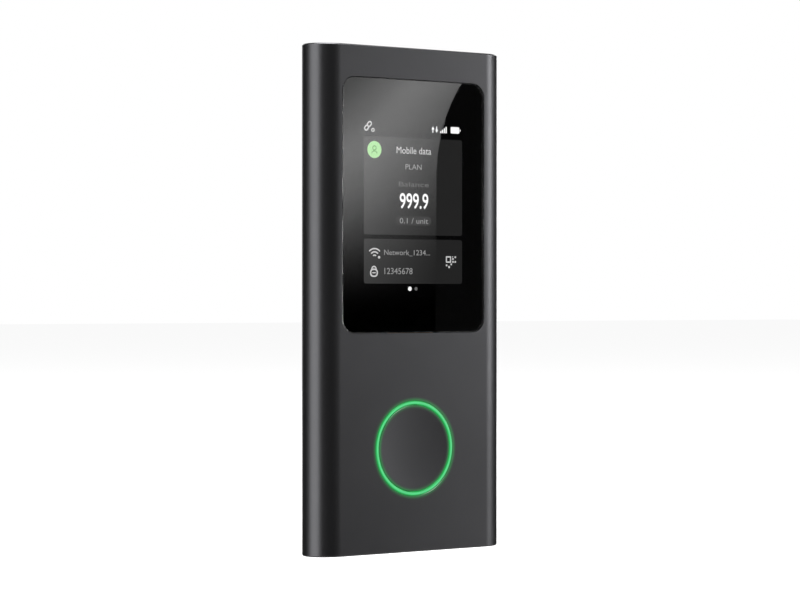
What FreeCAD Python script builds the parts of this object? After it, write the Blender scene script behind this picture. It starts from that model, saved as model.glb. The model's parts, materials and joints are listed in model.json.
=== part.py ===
"""Pocket mobile hotspot: an extruded aluminium sleeve with a touch screen, a ring-lit home button,
plastic end caps, and a slide-in core of carriers, board, battery, sockets and antennas.

Frame: +X to the right of the screen, -Y out of the screen, +Z up. The origin is the middle of the
foot, on the surface that the sleeve stands on. Sizes are in millimetres.
"""

import FreeCAD
import Part
import math
import os

import Sketcher

VERTICAL_AXIS, HORIZONTAL_AXIS, ORIGIN_POINT = -2, -1, 1
START, END, CENTRE = 1, 2, 3
LED_COUNT = 12
# A shield covers one large chip and two small ones; these are shares of the room below it.
LARGE_CHIP_WIDTH, LARGE_CHIP_LENGTH, LARGE_CHIP_RISE = 0.7, 0.6, 0.6
SMALL_CHIP_SIDE, SMALL_CHIP_OFFSET = 0.3, 0.22

doc = FreeCAD.newDocument("mobile_hotspot")
sheet = doc.addObject("Spreadsheet::Sheet", "Sizes")


# ---------------------------------------------------------------- sizes


class Size:
    """A length worked out from the sheet: its number, and the formula that binds it to the cells."""

    def __init__(self, number, formula):
        self.number = number
        self.formula = formula

    def __add__(self, other):
        other = as_size(other)
        return Size(self.number + other.number, f"({self.formula} + {other.formula})")

    def __sub__(self, other):
        other = as_size(other)
        return Size(self.number - other.number, f"({self.formula} - {other.formula})")

    def __mul__(self, other):
        other = as_size(other)
        return Size(self.number * other.number, f"({self.formula} * {other.formula})")

    def __truediv__(self, other):
        other = as_size(other)
        return Size(self.number / other.number, f"({self.formula} / {other.formula})")

    def __neg__(self):
        return Size(-self.number, f"(0 - {self.formula})")

    __radd__ = __add__

    def __rsub__(self, other):
        return as_size(other) - self


def as_size(value):
    return value if isinstance(value, Size) else Size(float(value), repr(float(value)))


rows = []


def cell(alias, number, meaning):
    """Writes one driving size into the sheet and returns it."""
    row = len(rows) + 1
    rows.append(alias)
    sheet.set(f"A{row}", meaning)
    sheet.set(f"B{row}", str(number))
    sheet.setAlias(f"B{row}", alias)
    return Size(float(number), f"Sizes.{alias}")


# Sleeve
body_height = cell("body_height", 139, "overall height, foot to top")
body_width = cell("body_width", 64, "overall width")
body_depth = cell("body_depth", 12.5, "overall thickness")
side_reach = cell("side_reach", 7.3, "how far each curved side runs in from the edge")
oval_share = cell("oval_share", 0.438, "how much of a side's reach past half the depth its end arc gives up")
wall = cell("wall", 1.0, "sleeve wall")
end_chamfer = cell("end_chamfer", 0.35, "chamfer on the sleeve's two outer rims")
slide_gap = cell("slide_gap", 0.1, "clearance of the core inside the sleeve")

# Cover glass and display
glass_side_margin = cell("glass_side_margin", 0.6, "flat left beside the glass")
glass_foot = cell("glass_foot", 60.5, "foot to the glass")
glass_corner = cell("glass_corner", 4.0, "cover glass corner radius")
glass_thickness = cell("glass_thickness", 0.8, "cover glass thickness")
glass_top_margin = cell("glass_top_margin", 8.8, "sleeve top to the glass")
glass_gap = cell("glass_gap", 0.12, "gap round the glass")
glass_sink = cell("glass_sink", 0.04, "glass below the sleeve's face")
glass_edge = cell("glass_edge", 0.15, "chamfer round the front of the glass")
tape_width = cell("tape_width", 2.2, "width of the adhesive frame behind the glass")
panel_side_border = cell("panel_side_border", 3.5, "glass left beside the display panel")
panel_top_border = cell("panel_top_border", 8.45, "glass left above the display panel")
panel_foot_border = cell("panel_foot_border", 5.25, "glass left below the display panel")
panel_corner = cell("panel_corner", 0.6, "display panel corner radius")
panel_thickness = cell("panel_thickness", 0.9, "display panel thickness")
backlight_thickness = cell("backlight_thickness", 1.1, "backlight thickness")
display_lead_width = cell("display_lead_width", 16.5, "display lead width")
display_lead_fold = cell("display_lead_fold", 0.8, "display lead's fold below the panel")
display_lead_inset = cell("display_lead_inset", 0.4, "display lead ahead of the panel's rear face")
display_plug_drop = cell("display_plug_drop", 4.8, "display connector's middle below the lead's fold")
bay_gap = cell("bay_gap", 0.2, "clearance round a piece in its bay")

# Ring light and home button
ring_height = cell("ring_height", 28.6, "foot to the middle of the ring")
ring_radius = cell("ring_radius", 13.05, "outer radius of the lit ring")
ring_width = cell("ring_width", 1.0, "width of the lit ring")
ring_fit = cell("ring_fit", 0.03, "radial clearance of the ring in the sleeve")
ring_sink = cell("ring_sink", 0.02, "lit bead below the sleeve's face")
ring_flange = cell("ring_flange", 1.95, "how far the ring's flange reaches past its bead")
ring_round = cell("ring_round", 0.25, "rounding of the lit bead's edges")
flange_thickness = cell("flange_thickness", 0.6, "thickness of the ring's flange")
hole_break = cell("hole_break", 0.2, "broken edge of the ring's hole")
button_break = cell("button_break", 0.1, "broken edge of the button's rim")
button_gap = cell("button_gap", 0.15, "radial clearance of the button in the ring")
button_sink = cell("button_sink", 0.03, "button rim below the sleeve's face")
button_dish = cell("button_dish", 0.45, "depth of the finger dish")
button_lip = cell("button_lip", 0.35, "flat rim round the finger dish")
button_thickness = cell("button_thickness", 1.05, "button cap thickness at its rim")
button_travel = cell("button_travel", 0.35, "press of the button")
hub_glue = cell("hub_glue", 0.3, "hub's front disc inside the button's rim")
hub_overlap = cell("hub_overlap", 0.75, "hub flange past the ring's bore")
hub_thickness = cell("hub_thickness", 0.7, "hub flange thickness")
hub_post = cell("hub_post", 1.6, "radius of the hub's centre post")
stop_gap = cell("stop_gap", 0.05, "play at the button's outer stop")
led_bore_gap = cell("led_bore_gap", 0.375, "radial clearance of the hub in the ring light board")
led_size = cell("led_size", 1.0, "side of a light emitting diode")
led_height = cell("led_height", 0.4, "height of a light emitting diode")
led_gap = cell("led_gap", 0.15, "diodes to the ring's flange")
led_board_thickness = cell("led_board_thickness", 0.4, "ring light board")
led_board_rim = cell("led_board_rim", 2.2, "ring light board past the ring's flange")

# Board
board_depth = cell("board_depth", 3.8, "sleeve's face to the front of the board")
board_thickness = cell("board_thickness", 0.8, "main board thickness")
board_inset = cell("board_inset", 1.2, "main board inside the sleeve's inner sides")
board_end = cell("board_end", 4.2, "main board from each end of the sleeve")
switch_side = cell("switch_side", 5.2, "side of the button's switch")
switch_height = cell("switch_height", 0.7, "height of the button's switch")
switch_well = cell("switch_well", 1.9, "radius of the switch's well")
switch_floor = cell("switch_floor", 0.1, "floor of the switch's well")
switch_lid = cell("switch_lid", 0.12, "lid over the switch's well")
plunger_fit = cell("plunger_fit", 0.05, "running clearance of the plunger in the lid")
plunger_radius = cell("plunger_radius", 1.2, "radius of the switch's plunger")
press_rest = cell("press_rest", 0.1, "hub's post above the switch at full press")
plunger_length = cell("plunger_length", 0.6, "plunger length")
dome_radius = cell("dome_radius", 1.75, "radius of the snap dome")
dome_rise = cell("dome_rise", 0.35, "rise of the snap dome")
dome_sheet = cell("dome_sheet", 0.08, "snap dome sheet thickness")

# End caps
cap_recess = cell("cap_recess", 0.25, "cap face inside the sleeve's end")
cap_thickness = cell("cap_thickness", 2.4, "end cap thickness")
cap_screw_side = cell("cap_screw_side", 6, "cap screws from the sleeve's sides")
cap_screw_back = cell("cap_screw_back", 1.65, "cap screws behind the board")
cap_screw_head = cell("cap_screw_head", 1.25, "cap screw head radius")
cap_screw_head_height = cell("cap_screw_head_height", 0.8, "cap screw head height")
cap_screw_sink = cell("cap_screw_sink", 1.05, "cap screw seat below the cap's face")
screw_radius = cell("screw_radius", 0.6, "radius of every screw's shank")
screw_gap = cell("screw_gap", 0.15, "clearance round a screw")
cross_reach = cell("cross_reach", 0.6, "arm of a screw's cross, as a share of the head's radius")
cross_half_width = cell("cross_half_width", 0.12, "half an arm's width, as a share of the head's radius")
cross_depth = cell("cross_depth", 0.6, "depth of a screw's cross, as a share of the head's height")
thread_gap = cell("thread_gap", 0.03, "clearance of a screw in its threaded hole")
cap_screw_reach = cell("cap_screw_reach", 2.6, "cap screw's shank inside the carrier")

# Carriers
antenna_room = cell("antenna_room", 0.6, "front carrier short of the rear one")
antenna_side = cell("antenna_side", 5.5, "antennas from the sleeve's sides")
antenna_sheet = cell("antenna_sheet", 0.2, "antenna thickness")
antenna_inner = cell("antenna_inner", 4.5, "antennas from the middle")
antenna_bridge = cell("antenna_bridge", 0.6, "metal left beside an antenna's slit")
antenna_slit = cell("antenna_slit", 0.4, "width of an antenna's slits")
clip_x = cell("clip_x", 7.5, "antenna clip from the middle")
clip_width = cell("clip_width", 2.0, "antenna clip width")
clip_length = cell("clip_length", 2.4, "antenna clip length")
clip_height = cell("clip_height", 1.1, "antenna clip height")
screw_side = cell("screw_side", 5.7, "board screws from the sleeve's sides")
screw_end = cell("screw_end", 11, "outer board screws from the sleeve's ends")
screw_seat = cell("screw_seat", 1.6, "board to the seat of a board screw")
screw_head = cell("screw_head", 1.2, "board screw head radius")
screw_head_height = cell("screw_head_height", 0.65, "board screw head height")
screw_length = cell("screw_length", 4.1, "board screw's shank")
floor_thickness = cell("floor_thickness", 0.5, "battery bay floor")
rib = cell("rib", 1.6, "ribs between the rear carrier's bays")
bay_side = cell("bay_side", 8.4, "rear carrier's bays from the sleeve's sides")

# Battery
battery_side = cell("battery_side", 6, "battery from the sleeve's sides")
battery_room = cell("battery_room", 4, "lower bay to the battery")
battery_corner = cell("battery_corner", 1.8, "rounding of the battery's long edges")
battery_glue = cell("battery_glue", 0.15, "battery adhesive thickness")
strip_width = cell("strip_width", 10.4, "width of a battery adhesive strip")
strip_end = cell("strip_end", 5.0, "battery adhesive strips from the battery's ends")
guard_room = cell("guard_room", 0.4, "battery guard board from its bay's upper end")
swell_gap = cell("swell_gap", 0.8, "room behind the battery")
guard_width = cell("guard_width", 30, "battery guard board width")
guard_length = cell("guard_length", 3.0, "battery guard board length")
guard_thickness = cell("guard_thickness", 2.6, "battery guard board thickness")
lead_width = cell("lead_width", 4.4, "battery lead width")
lead_side = cell("lead_side", 5.0, "battery lead's middle from the card socket's left side")
lead_sheet = cell("lead_sheet", 0.2, "thickness of flat leads")
lead_reach = cell("lead_reach", 5.4, "battery lead past the guard board")
plug_height = cell("plug_height", 0.9, "height of a board connector")
plug_length = cell("plug_length", 2.4, "length of a board connector")
ring_plug_width = cell("ring_plug_width", 6, "width of the ring light's connector")
ring_plug_inset = cell("ring_plug_inset", 0.4, "ring light's connector inside its board's rim")

# Chips and their shields
can_sheet = cell("can_sheet", 0.2, "shield sheet thickness")
can_corner = cell("can_corner", 0.4, "shield corner radius")
modem_chip_height = cell("modem_chip_height", 1.6, "height of the modem's chips")
chip_height = cell("chip_height", 1.1, "height of the other chips")
chip_gap = cell("chip_gap", 1.5, "chips inside their shields")
pad_inset = cell("pad_inset", 0.5, "thermal pad inside the modem shield's sides")
modem_side = cell("modem_side", 0.6, "modem shield from its bay's right side")
modem_foot_room = cell("modem_foot_room", 2.35, "modem shield from its bay's lower end")
modem_top_room = cell("modem_top_room", 2, "modem shield from its bay's upper end")
modem_width = cell("modem_width", 26, "modem shield width")
modem_length = cell("modem_length", 30, "modem shield length")
modem_height = cell("modem_height", 2.8, "modem shield height")
pad_thickness = cell("pad_thickness", 1.0, "thermal pad thickness")
power_side = cell("power_side", 1.1, "power shield from its bay's left side")
shield_room = cell("shield_room", 2.5, "between the power shield and the modem shield")
power_length = cell("power_length", 28, "power shield length")
power_height = cell("power_height", 1.9, "power shield height")
radio_side = cell("radio_side", 1.6, "radio shield from its bay's left side")
radio_inner = cell("radio_inner", 2, "radio shield from the middle")
radio_down = cell("radio_down", 14, "sleeve top to the radio shield's middle")
radio_length = cell("radio_length", 14, "radio shield length")
radio_height = cell("radio_height", 1.9, "radio shield height")

# Charging socket
usb_width = cell("usb_width", 8.94, "charging socket width")
usb_height = cell("usb_height", 3.2, "charging socket height")
usb_wall = cell("usb_wall", 0.3, "charging socket shell")
usb_length = cell("usb_length", 7.4, "charging socket length")
usb_inset = cell("usb_inset", 0.4, "charging socket behind the cap's face")
usb_gap = cell("usb_gap", 0.1, "cap's slot round the charging socket")
tongue_width = cell("tongue_width", 6.69, "contact tongue width")
tongue_thickness = cell("tongue_thickness", 0.7, "contact tongue thickness")
tongue_length = cell("tongue_length", 4.45, "contact tongue length")
tongue_base = cell("tongue_base", 1.6, "length of the tongue's base")

# Card tray and its ejector
socket_side = cell("socket_side", 2.9, "card socket from its bay's right side")
socket_room = cell("socket_room", 0.8, "card socket from its bay's lower end")
tray_width = cell("tray_width", 11.4, "card tray width")
tray_thickness = cell("tray_thickness", 1.1, "card tray thickness")
tray_length = cell("tray_length", 18.5, "card tray behind its bezel")
tray_gap = cell("tray_gap", 0.2, "clearance of the card tray")
bezel_height = cell("bezel_height", 2.2, "tray bezel across the thickness")
bezel_thickness = cell("bezel_thickness", 1.4, "tray bezel thickness")
bezel_over = cell("bezel_over", 1.2, "tray bezel past the tray")
bezel_gap = cell("bezel_gap", 0.1, "clearance of the bezel in its slot")
card_width = cell("card_width", 8.9, "card seat width")
card_length = cell("card_length", 12.4, "card seat length")
card_depth = cell("card_depth", 0.72, "card seat depth")
card_ledge = cell("card_ledge", 0.9, "ledge under the card's edges")
card_foot = cell("card_foot", 1.8, "card seat from the tray's foot")
socket_floor = cell("socket_floor", 0.9, "card socket floor")
socket_wall = cell("socket_wall", 1.1, "card socket outer walls")
socket_lid = cell("socket_lid", 0.2, "card socket cover sheet")
socket_end = cell("socket_end", 4.4, "sleeve top to the card socket")
contact_sheet = cell("contact_sheet", 0.12, "card contacts' thickness")
contact_width = cell("contact_width", 0.9, "card contacts' width")
contact_length = cell("contact_length", 1.8, "card contacts' length")
contact_pitch = cell("contact_pitch", 2.225, "card contacts' spacing across the tray")
contact_foot = cell("contact_foot", 4.96, "tray's foot to the middle of the lower contacts")
contact_rise = cell("contact_rise", 4.34, "card contacts' spacing along the tray")
window_width = cell("window_width", 2.28, "width of the socket cover's windows")
window_length = cell("window_length", 6.2, "length of the socket cover's windows")
window_offset = cell("window_offset", 2.85, "cover's windows from the tray's middle")
window_rise = cell("window_rise", 7.44, "tray's foot to the middle of the cover's windows")
rod_radius = cell("rod_radius", 0.45, "ejector rod radius")
rod_offset = cell("rod_offset", 1.4, "ejector rod from the tray's side")
rod_fit = cell("rod_fit", 0.05, "running clearance of the ejector rod")
rod_channel = cell("rod_channel", 0.5, "half width of the ejector rod's channel")
rod_travel = cell("rod_travel", 1.1, "press of the ejector rod")
rod_sink = cell("rod_sink", 0.15, "top of the ejector rod behind the tray's bezel")
pinhole_radius = cell("pinhole_radius", 0.5, "radius of the pinhole in the bezel")
pinhole_margin = cell("pinhole_margin", 1.0, "tray bezel past the pinhole")
rod_arm = cell("rod_arm", 5.5, "ejector lever, pivot to the rod")
tray_arm = cell("tray_arm", 5.8, "ejector lever, pivot to the pusher")
lever_tip = cell("lever_tip", 0.5, "radius of the ejector lever's tips")
lever_arm = cell("lever_arm", 0.8, "width of the ejector lever's arms")
lever_boss = cell("lever_boss", 1.25, "radius round the ejector lever's pivot")
lever_sheet = cell("lever_sheet", 0.5, "ejector lever thickness")
pivot_radius = cell("pivot_radius", 0.6, "ejector pivot pin radius")
pivot_gap = cell("pivot_gap", 0.05, "running clearance on the pivot pin")
pusher_height = cell("pusher_height", 1.2, "pusher bar along the tray")
pusher_leg = cell("pusher_leg", 0.9, "leg from the pusher bar to the lever")
pusher_leg_width = cell("pusher_leg_width", 2.6, "width of the pusher's leg")
pusher_fit = cell("pusher_fit", 0.05, "running clearance of the pusher in the tray's channel")
pin_head = cell("pin_head", 1.1, "radius of the pivot pin's head")
pusher_thickness = cell("pusher_thickness", 1.0, "pusher bar thickness")
touch_gap = cell("touch_gap", 0.05, "play between the ejector's pieces")

# ---------------------------------------------------------------- places worked out from the sizes

front_face = -body_depth / 2
back_face = body_depth / 2
inner_front = front_face + wall
inner_back = back_face - wall
straight_half = body_width / 2 - side_reach
nose_radius = back_face - (side_reach - back_face) * oval_share

glass_width = (straight_half - glass_side_margin) * 2
glass_top = body_height - glass_top_margin
glass_height = glass_top - glass_foot
glass_middle = glass_top - glass_height / 2
glass_front = front_face + glass_sink
glass_back = glass_front + glass_thickness
core_front = inner_front + slide_gap
panel_width = glass_width - panel_side_border * 2
panel_height = glass_height - panel_top_border - panel_foot_border
panel_bottom = glass_foot + panel_foot_border
panel_middle = panel_bottom + panel_height / 2
panel_back = glass_back + panel_thickness
backlight_back = panel_back + backlight_thickness

board_front = front_face + board_depth
board_back = board_front + board_thickness
board_half_width = body_width / 2 - wall - board_inset

ring_bore = ring_radius - ring_width
flange_radius = ring_radius + ring_flange
ring_back = inner_front + flange_thickness
led_board_front = ring_back + led_gap + led_height
led_board_back = led_board_front + led_board_thickness
led_board_radius = flange_radius + led_board_rim
button_radius = ring_bore - button_gap
button_front = front_face + button_sink
button_back = button_front + button_thickness
hub_radius = ring_bore + hub_overlap
hub_front = ring_back + stop_gap
hub_back = hub_front + hub_thickness
led_board_bore = hub_radius + led_bore_gap
led_circle = (led_board_bore + flange_radius) / 2
switch_front = board_front - switch_height
plunger_front = switch_front - press_rest - button_travel

cap_inner = cap_recess + cap_thickness
core_end = cap_inner
front_core_end = core_end + antenna_room
core_top = body_height - core_end
front_core_top = body_height - front_core_end
cap_seat = cap_recess + cap_screw_sink

screw_x = body_width / 2 - screw_side
cap_screw_x = body_width / 2 - cap_screw_side
cap_screw_y = board_back + cap_screw_back
antenna_width = body_width / 2 - antenna_side - antenna_inner
antenna_middle = antenna_inner + antenna_width / 2
bay_half_width = body_width / 2 - bay_side

usb_front = cap_recess + usb_inset
usb_end = usb_front + usb_length
usb_middle = board_back + usb_height / 2

lower_bay_bottom = usb_end + rib
modem_z = lower_bay_bottom + modem_foot_room + modem_length / 2
modem_x = bay_half_width - modem_side - modem_width / 2
lower_bay_top = modem_z + modem_length / 2 + modem_top_room
power_left = power_side - bay_half_width
power_width = modem_x - modem_width / 2 - shield_room - power_left
power_x = power_left + power_width / 2
radio_width = bay_half_width - radio_side - radio_inner
radio_x = -radio_inner - radio_width / 2
radio_z = body_height - radio_down

tray_middle = board_back + socket_floor + tray_gap + tray_thickness / 2
bezel_face = body_height - cap_recess
bezel_back = bezel_face - bezel_thickness
tray_foot = bezel_back - tray_length
socket_right = bay_half_width - socket_side
rod_x = socket_right - socket_wall - rod_channel
tray_x = rod_x - rod_offset - tray_width / 2
rod_top = bezel_back - rod_sink
pusher_top = tray_foot - touch_gap
pusher_foot = pusher_top - pusher_height - pusher_leg
lever_z = pusher_foot - touch_gap - lever_tip
lever_front = tray_middle - lever_sheet / 2
lever_back = tray_middle + lever_sheet / 2
rod_foot = lever_z + lever_tip + touch_gap
pivot_x = rod_x - rod_arm
pusher_tip_x = pivot_x - tray_arm
bezel_left = tray_x - tray_width / 2 - bezel_over
bezel_right = rod_x + pinhole_radius + pinhole_margin
socket_left = tray_x - tray_width / 2 - tray_gap - socket_wall
socket_top = body_height - socket_end
socket_foot = lever_z - lever_boss - rod_travel
lid_front = tray_middle + tray_thickness / 2 + tray_gap - pivot_gap
lid_back = lid_front + socket_lid
lead_middle = socket_left - lead_side

upper_bay_bottom = socket_foot - socket_room
battery_bay_top = upper_bay_bottom - rib
guard_top = battery_bay_top - guard_room
battery_top = guard_top - guard_length
battery_bottom = lower_bay_top + battery_room
battery_length = battery_top - battery_bottom
battery_width = body_width - battery_side * 2
battery_front = board_back + floor_thickness + battery_glue
battery_back = inner_back - swell_gap
screw_rows = [screw_end, battery_bottom - rib, body_height - screw_end]

# ---------------------------------------------------------------- drawing helpers

cuts = []
pieces = []


def bind(thing, field, value):
    """Sets a field's number, and ties it to the sheet where the value comes from there."""
    value = as_size(value)
    inner = "." in field
    if not inner:
        setattr(thing, field, value.number)
    if inner or "Sizes." in value.formula:
        thing.setExpression(field, value.formula)


def new_body(label):
    body = doc.addObject("PartDesign::Body", label)
    body.Label = label
    pieces.append(body)
    return body


def sketch_on(body, plane, level):
    """A sketch of the body on one of its origin planes, moved along that plane's normal to the level."""
    sketch = body.newObject("Sketcher::SketchObject", f"{body.Label}_outline")
    origin = next(f for f in body.Origin.OriginFeatures if f.Role == f"{plane}_Plane")
    sketch.AttachmentSupport = [(origin, "")]
    sketch.MapMode = "FlatFace"
    bind(sketch, "AttachmentOffset.Base.z", -level if plane == "XZ" else level)
    return sketch


def constrain(sketch, kind, *where):
    """Adds a constraint; a size at the end is tied to the sheet."""
    if where and isinstance(where[-1], Size):
        index = sketch.addConstraint(Sketcher.Constraint(kind, *where[:-1], where[-1].number))
        if "Sizes." in where[-1].formula:
            sketch.setExpression(f"Constraints[{index}]", where[-1].formula)
    else:
        index = sketch.addConstraint(Sketcher.Constraint(kind, *where))
    return index


def place_point(sketch, geometry, point, across, up):
    """Ties a point's two coordinates to the sketch's origin."""
    for value, axis, kind in ((across, VERTICAL_AXIS, "DistanceX"), (up, HORIZONTAL_AXIS, "DistanceY")):
        value = as_size(value)
        if value.number == 0 and "Sizes." not in value.formula:
            constrain(sketch, "PointOnObject", geometry, point, axis)
        else:
            constrain(sketch, kind, HORIZONTAL_AXIS, ORIGIN_POINT, geometry, point, value)


def draw_circle(sketch, across, up, radius):
    across, up, radius = as_size(across), as_size(up), as_size(radius)
    centre = FreeCAD.Vector(across.number, up.number, 0)
    circle = sketch.addGeometry(Part.Circle(centre, FreeCAD.Vector(0, 0, 1), radius.number), False)
    constrain(sketch, "Radius", circle, radius)
    place_point(sketch, circle, CENTRE, across, up)


def draw_rectangle(sketch, left, right, low, high):
    left, right, low, high = (as_size(v) for v in (left, right, low, high))
    corners = [
        FreeCAD.Vector(x.number, y.number, 0)
        for x, y in ((left, low), (right, low), (right, high), (left, high))
    ]
    sides = [
        sketch.addGeometry(Part.LineSegment(corners[i], corners[(i + 1) % 4]), False) for i in range(4)
    ]
    for i, side in enumerate(sides):
        constrain(sketch, "Coincident", side, END, sides[(i + 1) % 4], START)
        constrain(sketch, "Horizontal" if i % 2 == 0 else "Vertical", side)
    place_point(sketch, sides[0], START, left, low)
    place_point(sketch, sides[2], START, right, high)


def draw_stadium(sketch, across, up, width, height):
    """A slot with round ends, its long way along the sketch's first axis."""
    across, up, width, height = (as_size(v) for v in (across, up, width, height))
    radius = height / 2
    half = (width - height) / 2
    point = FreeCAD.Vector
    left, right = (across - half).number, (across + half).number
    low, high = (up - radius).number, (up + radius).number
    middle = up.number
    bottom = sketch.addGeometry(Part.LineSegment(point(left, low, 0), point(right, low, 0)), False)
    top = sketch.addGeometry(Part.LineSegment(point(right, high, 0), point(left, high, 0)), False)
    circle = Part.Circle(point(right, middle, 0), point(0, 0, 1), radius.number)
    east = sketch.addGeometry(Part.ArcOfCircle(circle, -math.pi / 2, math.pi / 2), False)
    circle = Part.Circle(point(left, middle, 0), point(0, 0, 1), radius.number)
    west = sketch.addGeometry(Part.ArcOfCircle(circle, math.pi / 2, 3 * math.pi / 2), False)
    constrain(sketch, "Tangent", bottom, END, east, START)
    constrain(sketch, "Tangent", east, END, top, START)
    constrain(sketch, "Tangent", top, END, west, START)
    constrain(sketch, "Tangent", west, END, bottom, START)
    constrain(sketch, "Horizontal", bottom)
    constrain(sketch, "Radius", east, radius)
    place_point(sketch, east, CENTRE, across + half, up)
    constrain(sketch, "DistanceX", west, CENTRE, east, CENTRE, width - height)


def draw_section(sketch, inset):
    """The sleeve's cross section, inset from its outer face: two flats joined by three-arc sides."""
    half, reach, rise, nose = straight_half.number, side_reach.number, back_face.number, nose_radius.number
    flank = ((reach - nose) ** 2 + rise**2 - nose**2) / (2 * (rise - nose))
    lean = math.atan2(abs(flank - rise), abs(reach - nose))
    b, small, large = rise - inset.number, nose - inset.number, flank - inset.number
    right, off = half + reach - nose, flank - rise
    front = line_between((-half, -b), (half, -b))
    back = line_between((half, b), (-half, b))
    outline = [
        front,
        arc_about(half, off, large, -math.pi / 2, -lean),
        arc_about(right, 0, small, -lean, lean),
        arc_about(half, -off, large, lean, math.pi / 2),
        back,
        arc_about(-half, -off, large, math.pi / 2, math.pi - lean),
        arc_about(-right, 0, small, math.pi - lean, math.pi + lean),
        arc_about(-half, off, large, math.pi + lean, math.pi * 3 / 2),
    ]
    drawn = [sketch.addGeometry(piece, False) for piece in outline]
    for i, piece in enumerate(drawn):
        constrain(sketch, "Tangent", piece, END, drawn[(i + 1) % len(drawn)], START)
    for line, way, level in ((drawn[0], 1, -back_face + inset), (drawn[4], -1, back_face - inset)):
        constrain(sketch, "Horizontal", line)
        for end, side in ((START, -way), (END, way)):
            x = straight_half if side > 0 else -straight_half
            constrain(sketch, "DistanceX", HORIZONTAL_AXIS, ORIGIN_POINT, line, end, x)
        constrain(sketch, "DistanceY", HORIZONTAL_AXIS, ORIGIN_POINT, line, START, level)
    centre = straight_half + side_reach - nose_radius
    for nose_arc, x in ((drawn[2], centre), (drawn[6], -centre)):
        place_point(sketch, nose_arc, CENTRE, x, 0)
        constrain(sketch, "Radius", nose_arc, nose_radius - inset)


def line_between(start, end):
    return Part.LineSegment(FreeCAD.Vector(*start, 0), FreeCAD.Vector(*end, 0))


def arc_about(x, y, radius, start, end):
    circle = Part.Circle(FreeCAD.Vector(x, y, 0), FreeCAD.Vector(0, 0, 1), radius)
    return Part.ArcOfCircle(circle, start, end)


def add_pad(body, plane, low, high, draw):
    """Pads what draw puts in a sketch, from low to high along the plane's axis (Y for XZ)."""
    low, high = as_size(low), as_size(high)
    sketch = sketch_on(body, plane, high if plane == "XZ" else low)
    draw(sketch)
    pad = body.newObject("PartDesign::Pad", f"{body.Label}_pad")
    pad.Profile = sketch
    bind(pad, "Length", high - low)
    return pad


def add_cut(body, plane, low, high, draw):
    """Cuts what draw puts in a sketch, from low to high along the plane's axis (Y for XZ)."""
    low, high = as_size(low), as_size(high)
    before = body.Tip
    sketch = sketch_on(body, plane, low if plane == "XZ" else high)
    draw(sketch)
    pocket = body.newObject("PartDesign::Pocket", f"{body.Label}_cut")
    pocket.Profile = sketch
    bind(pocket, "Length", high - low)
    cuts.append((pocket, before))
    return pocket


def add_edge_work(body, kind, size, wanted):
    """Rounds or chamfers the edges that wanted picks out of the finished shape so far."""
    doc.recompute()
    base = body.Tip
    names = [f"Edge{i + 1}" for i, edge in enumerate(base.Shape.Edges) if wanted(edge)]
    if not names:
        raise ValueError(f"{body.Label}: no edge to work on")
    work = body.newObject(f"PartDesign::{kind}", f"{body.Label}_{kind.lower()}")
    work.Base = (base, names)
    bind(work, "Radius" if kind == "Fillet" else "Size", size)
    return work


def curve_kind(edge):
    return "none" if edge.Degenerated else edge.Curve.TypeId


def along(axis, edge):
    """Whether an edge is straight and runs along X, Y or Z."""
    if curve_kind(edge) != "Part::GeomLine":
        return False
    a, b = (v.Point for v in edge.Vertexes)
    other = [k for k in range(3) if k != axis]
    return all(abs(a[k] - b[k]) < 1e-6 for k in other)


def at_level(axis, level, edge):
    """Whether the whole edge lies at one level along X, Y or Z."""
    box = edge.BoundBox
    low = (box.XMin, box.YMin, box.ZMin)[axis]
    high = (box.XMax, box.YMax, box.ZMax)[axis]
    return abs(low - level) < 1e-4 and abs(high - level) < 1e-4


def box_shape(name, x, y, z):
    """A Part box between two values on each axis."""
    box = doc.addObject("Part::Box", name)
    for (low, high), side, axis in ((x, "Length", "x"), (y, "Width", "y"), (z, "Height", "z")):
        bind(box, side, as_size(high) - low)
        bind(box, f"Placement.Base.{axis}", low)
    return box


def cylinder_shape(name, x, y, z, radius, length, turn=None):
    """A Part cylinder that starts at a point and runs along +Z, or along +Y if turned."""
    cylinder = doc.addObject("Part::Cylinder", name)
    if turn == "Y":
        cylinder.Placement.Rotation = FreeCAD.Rotation(FreeCAD.Vector(1, 0, 0), -90)
    bind(cylinder, "Radius", radius)
    bind(cylinder, "Height", length)
    for axis, value in (("x", x), ("y", y), ("z", z)):
        bind(cylinder, f"Placement.Base.{axis}", value)
    return cylinder


def keep(shape, label):
    """Makes a Part object one of the sub-parts."""
    shape.Label = label
    pieces.append(shape)
    return shape


def group(label, members):
    """Identical small pieces that share a node."""
    compound = doc.addObject("Part::Compound", label)
    compound.Links = members
    return keep(compound, label)


def middle(centre, width):
    """The two values on either side of a centre."""
    centre = as_size(centre)
    return centre - width / 2, centre + width / 2


def block(label, x, y, z):
    return keep(box_shape(label, x, y, z), label)


# ---------------------------------------------------------------- sleeve and end caps


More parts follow.
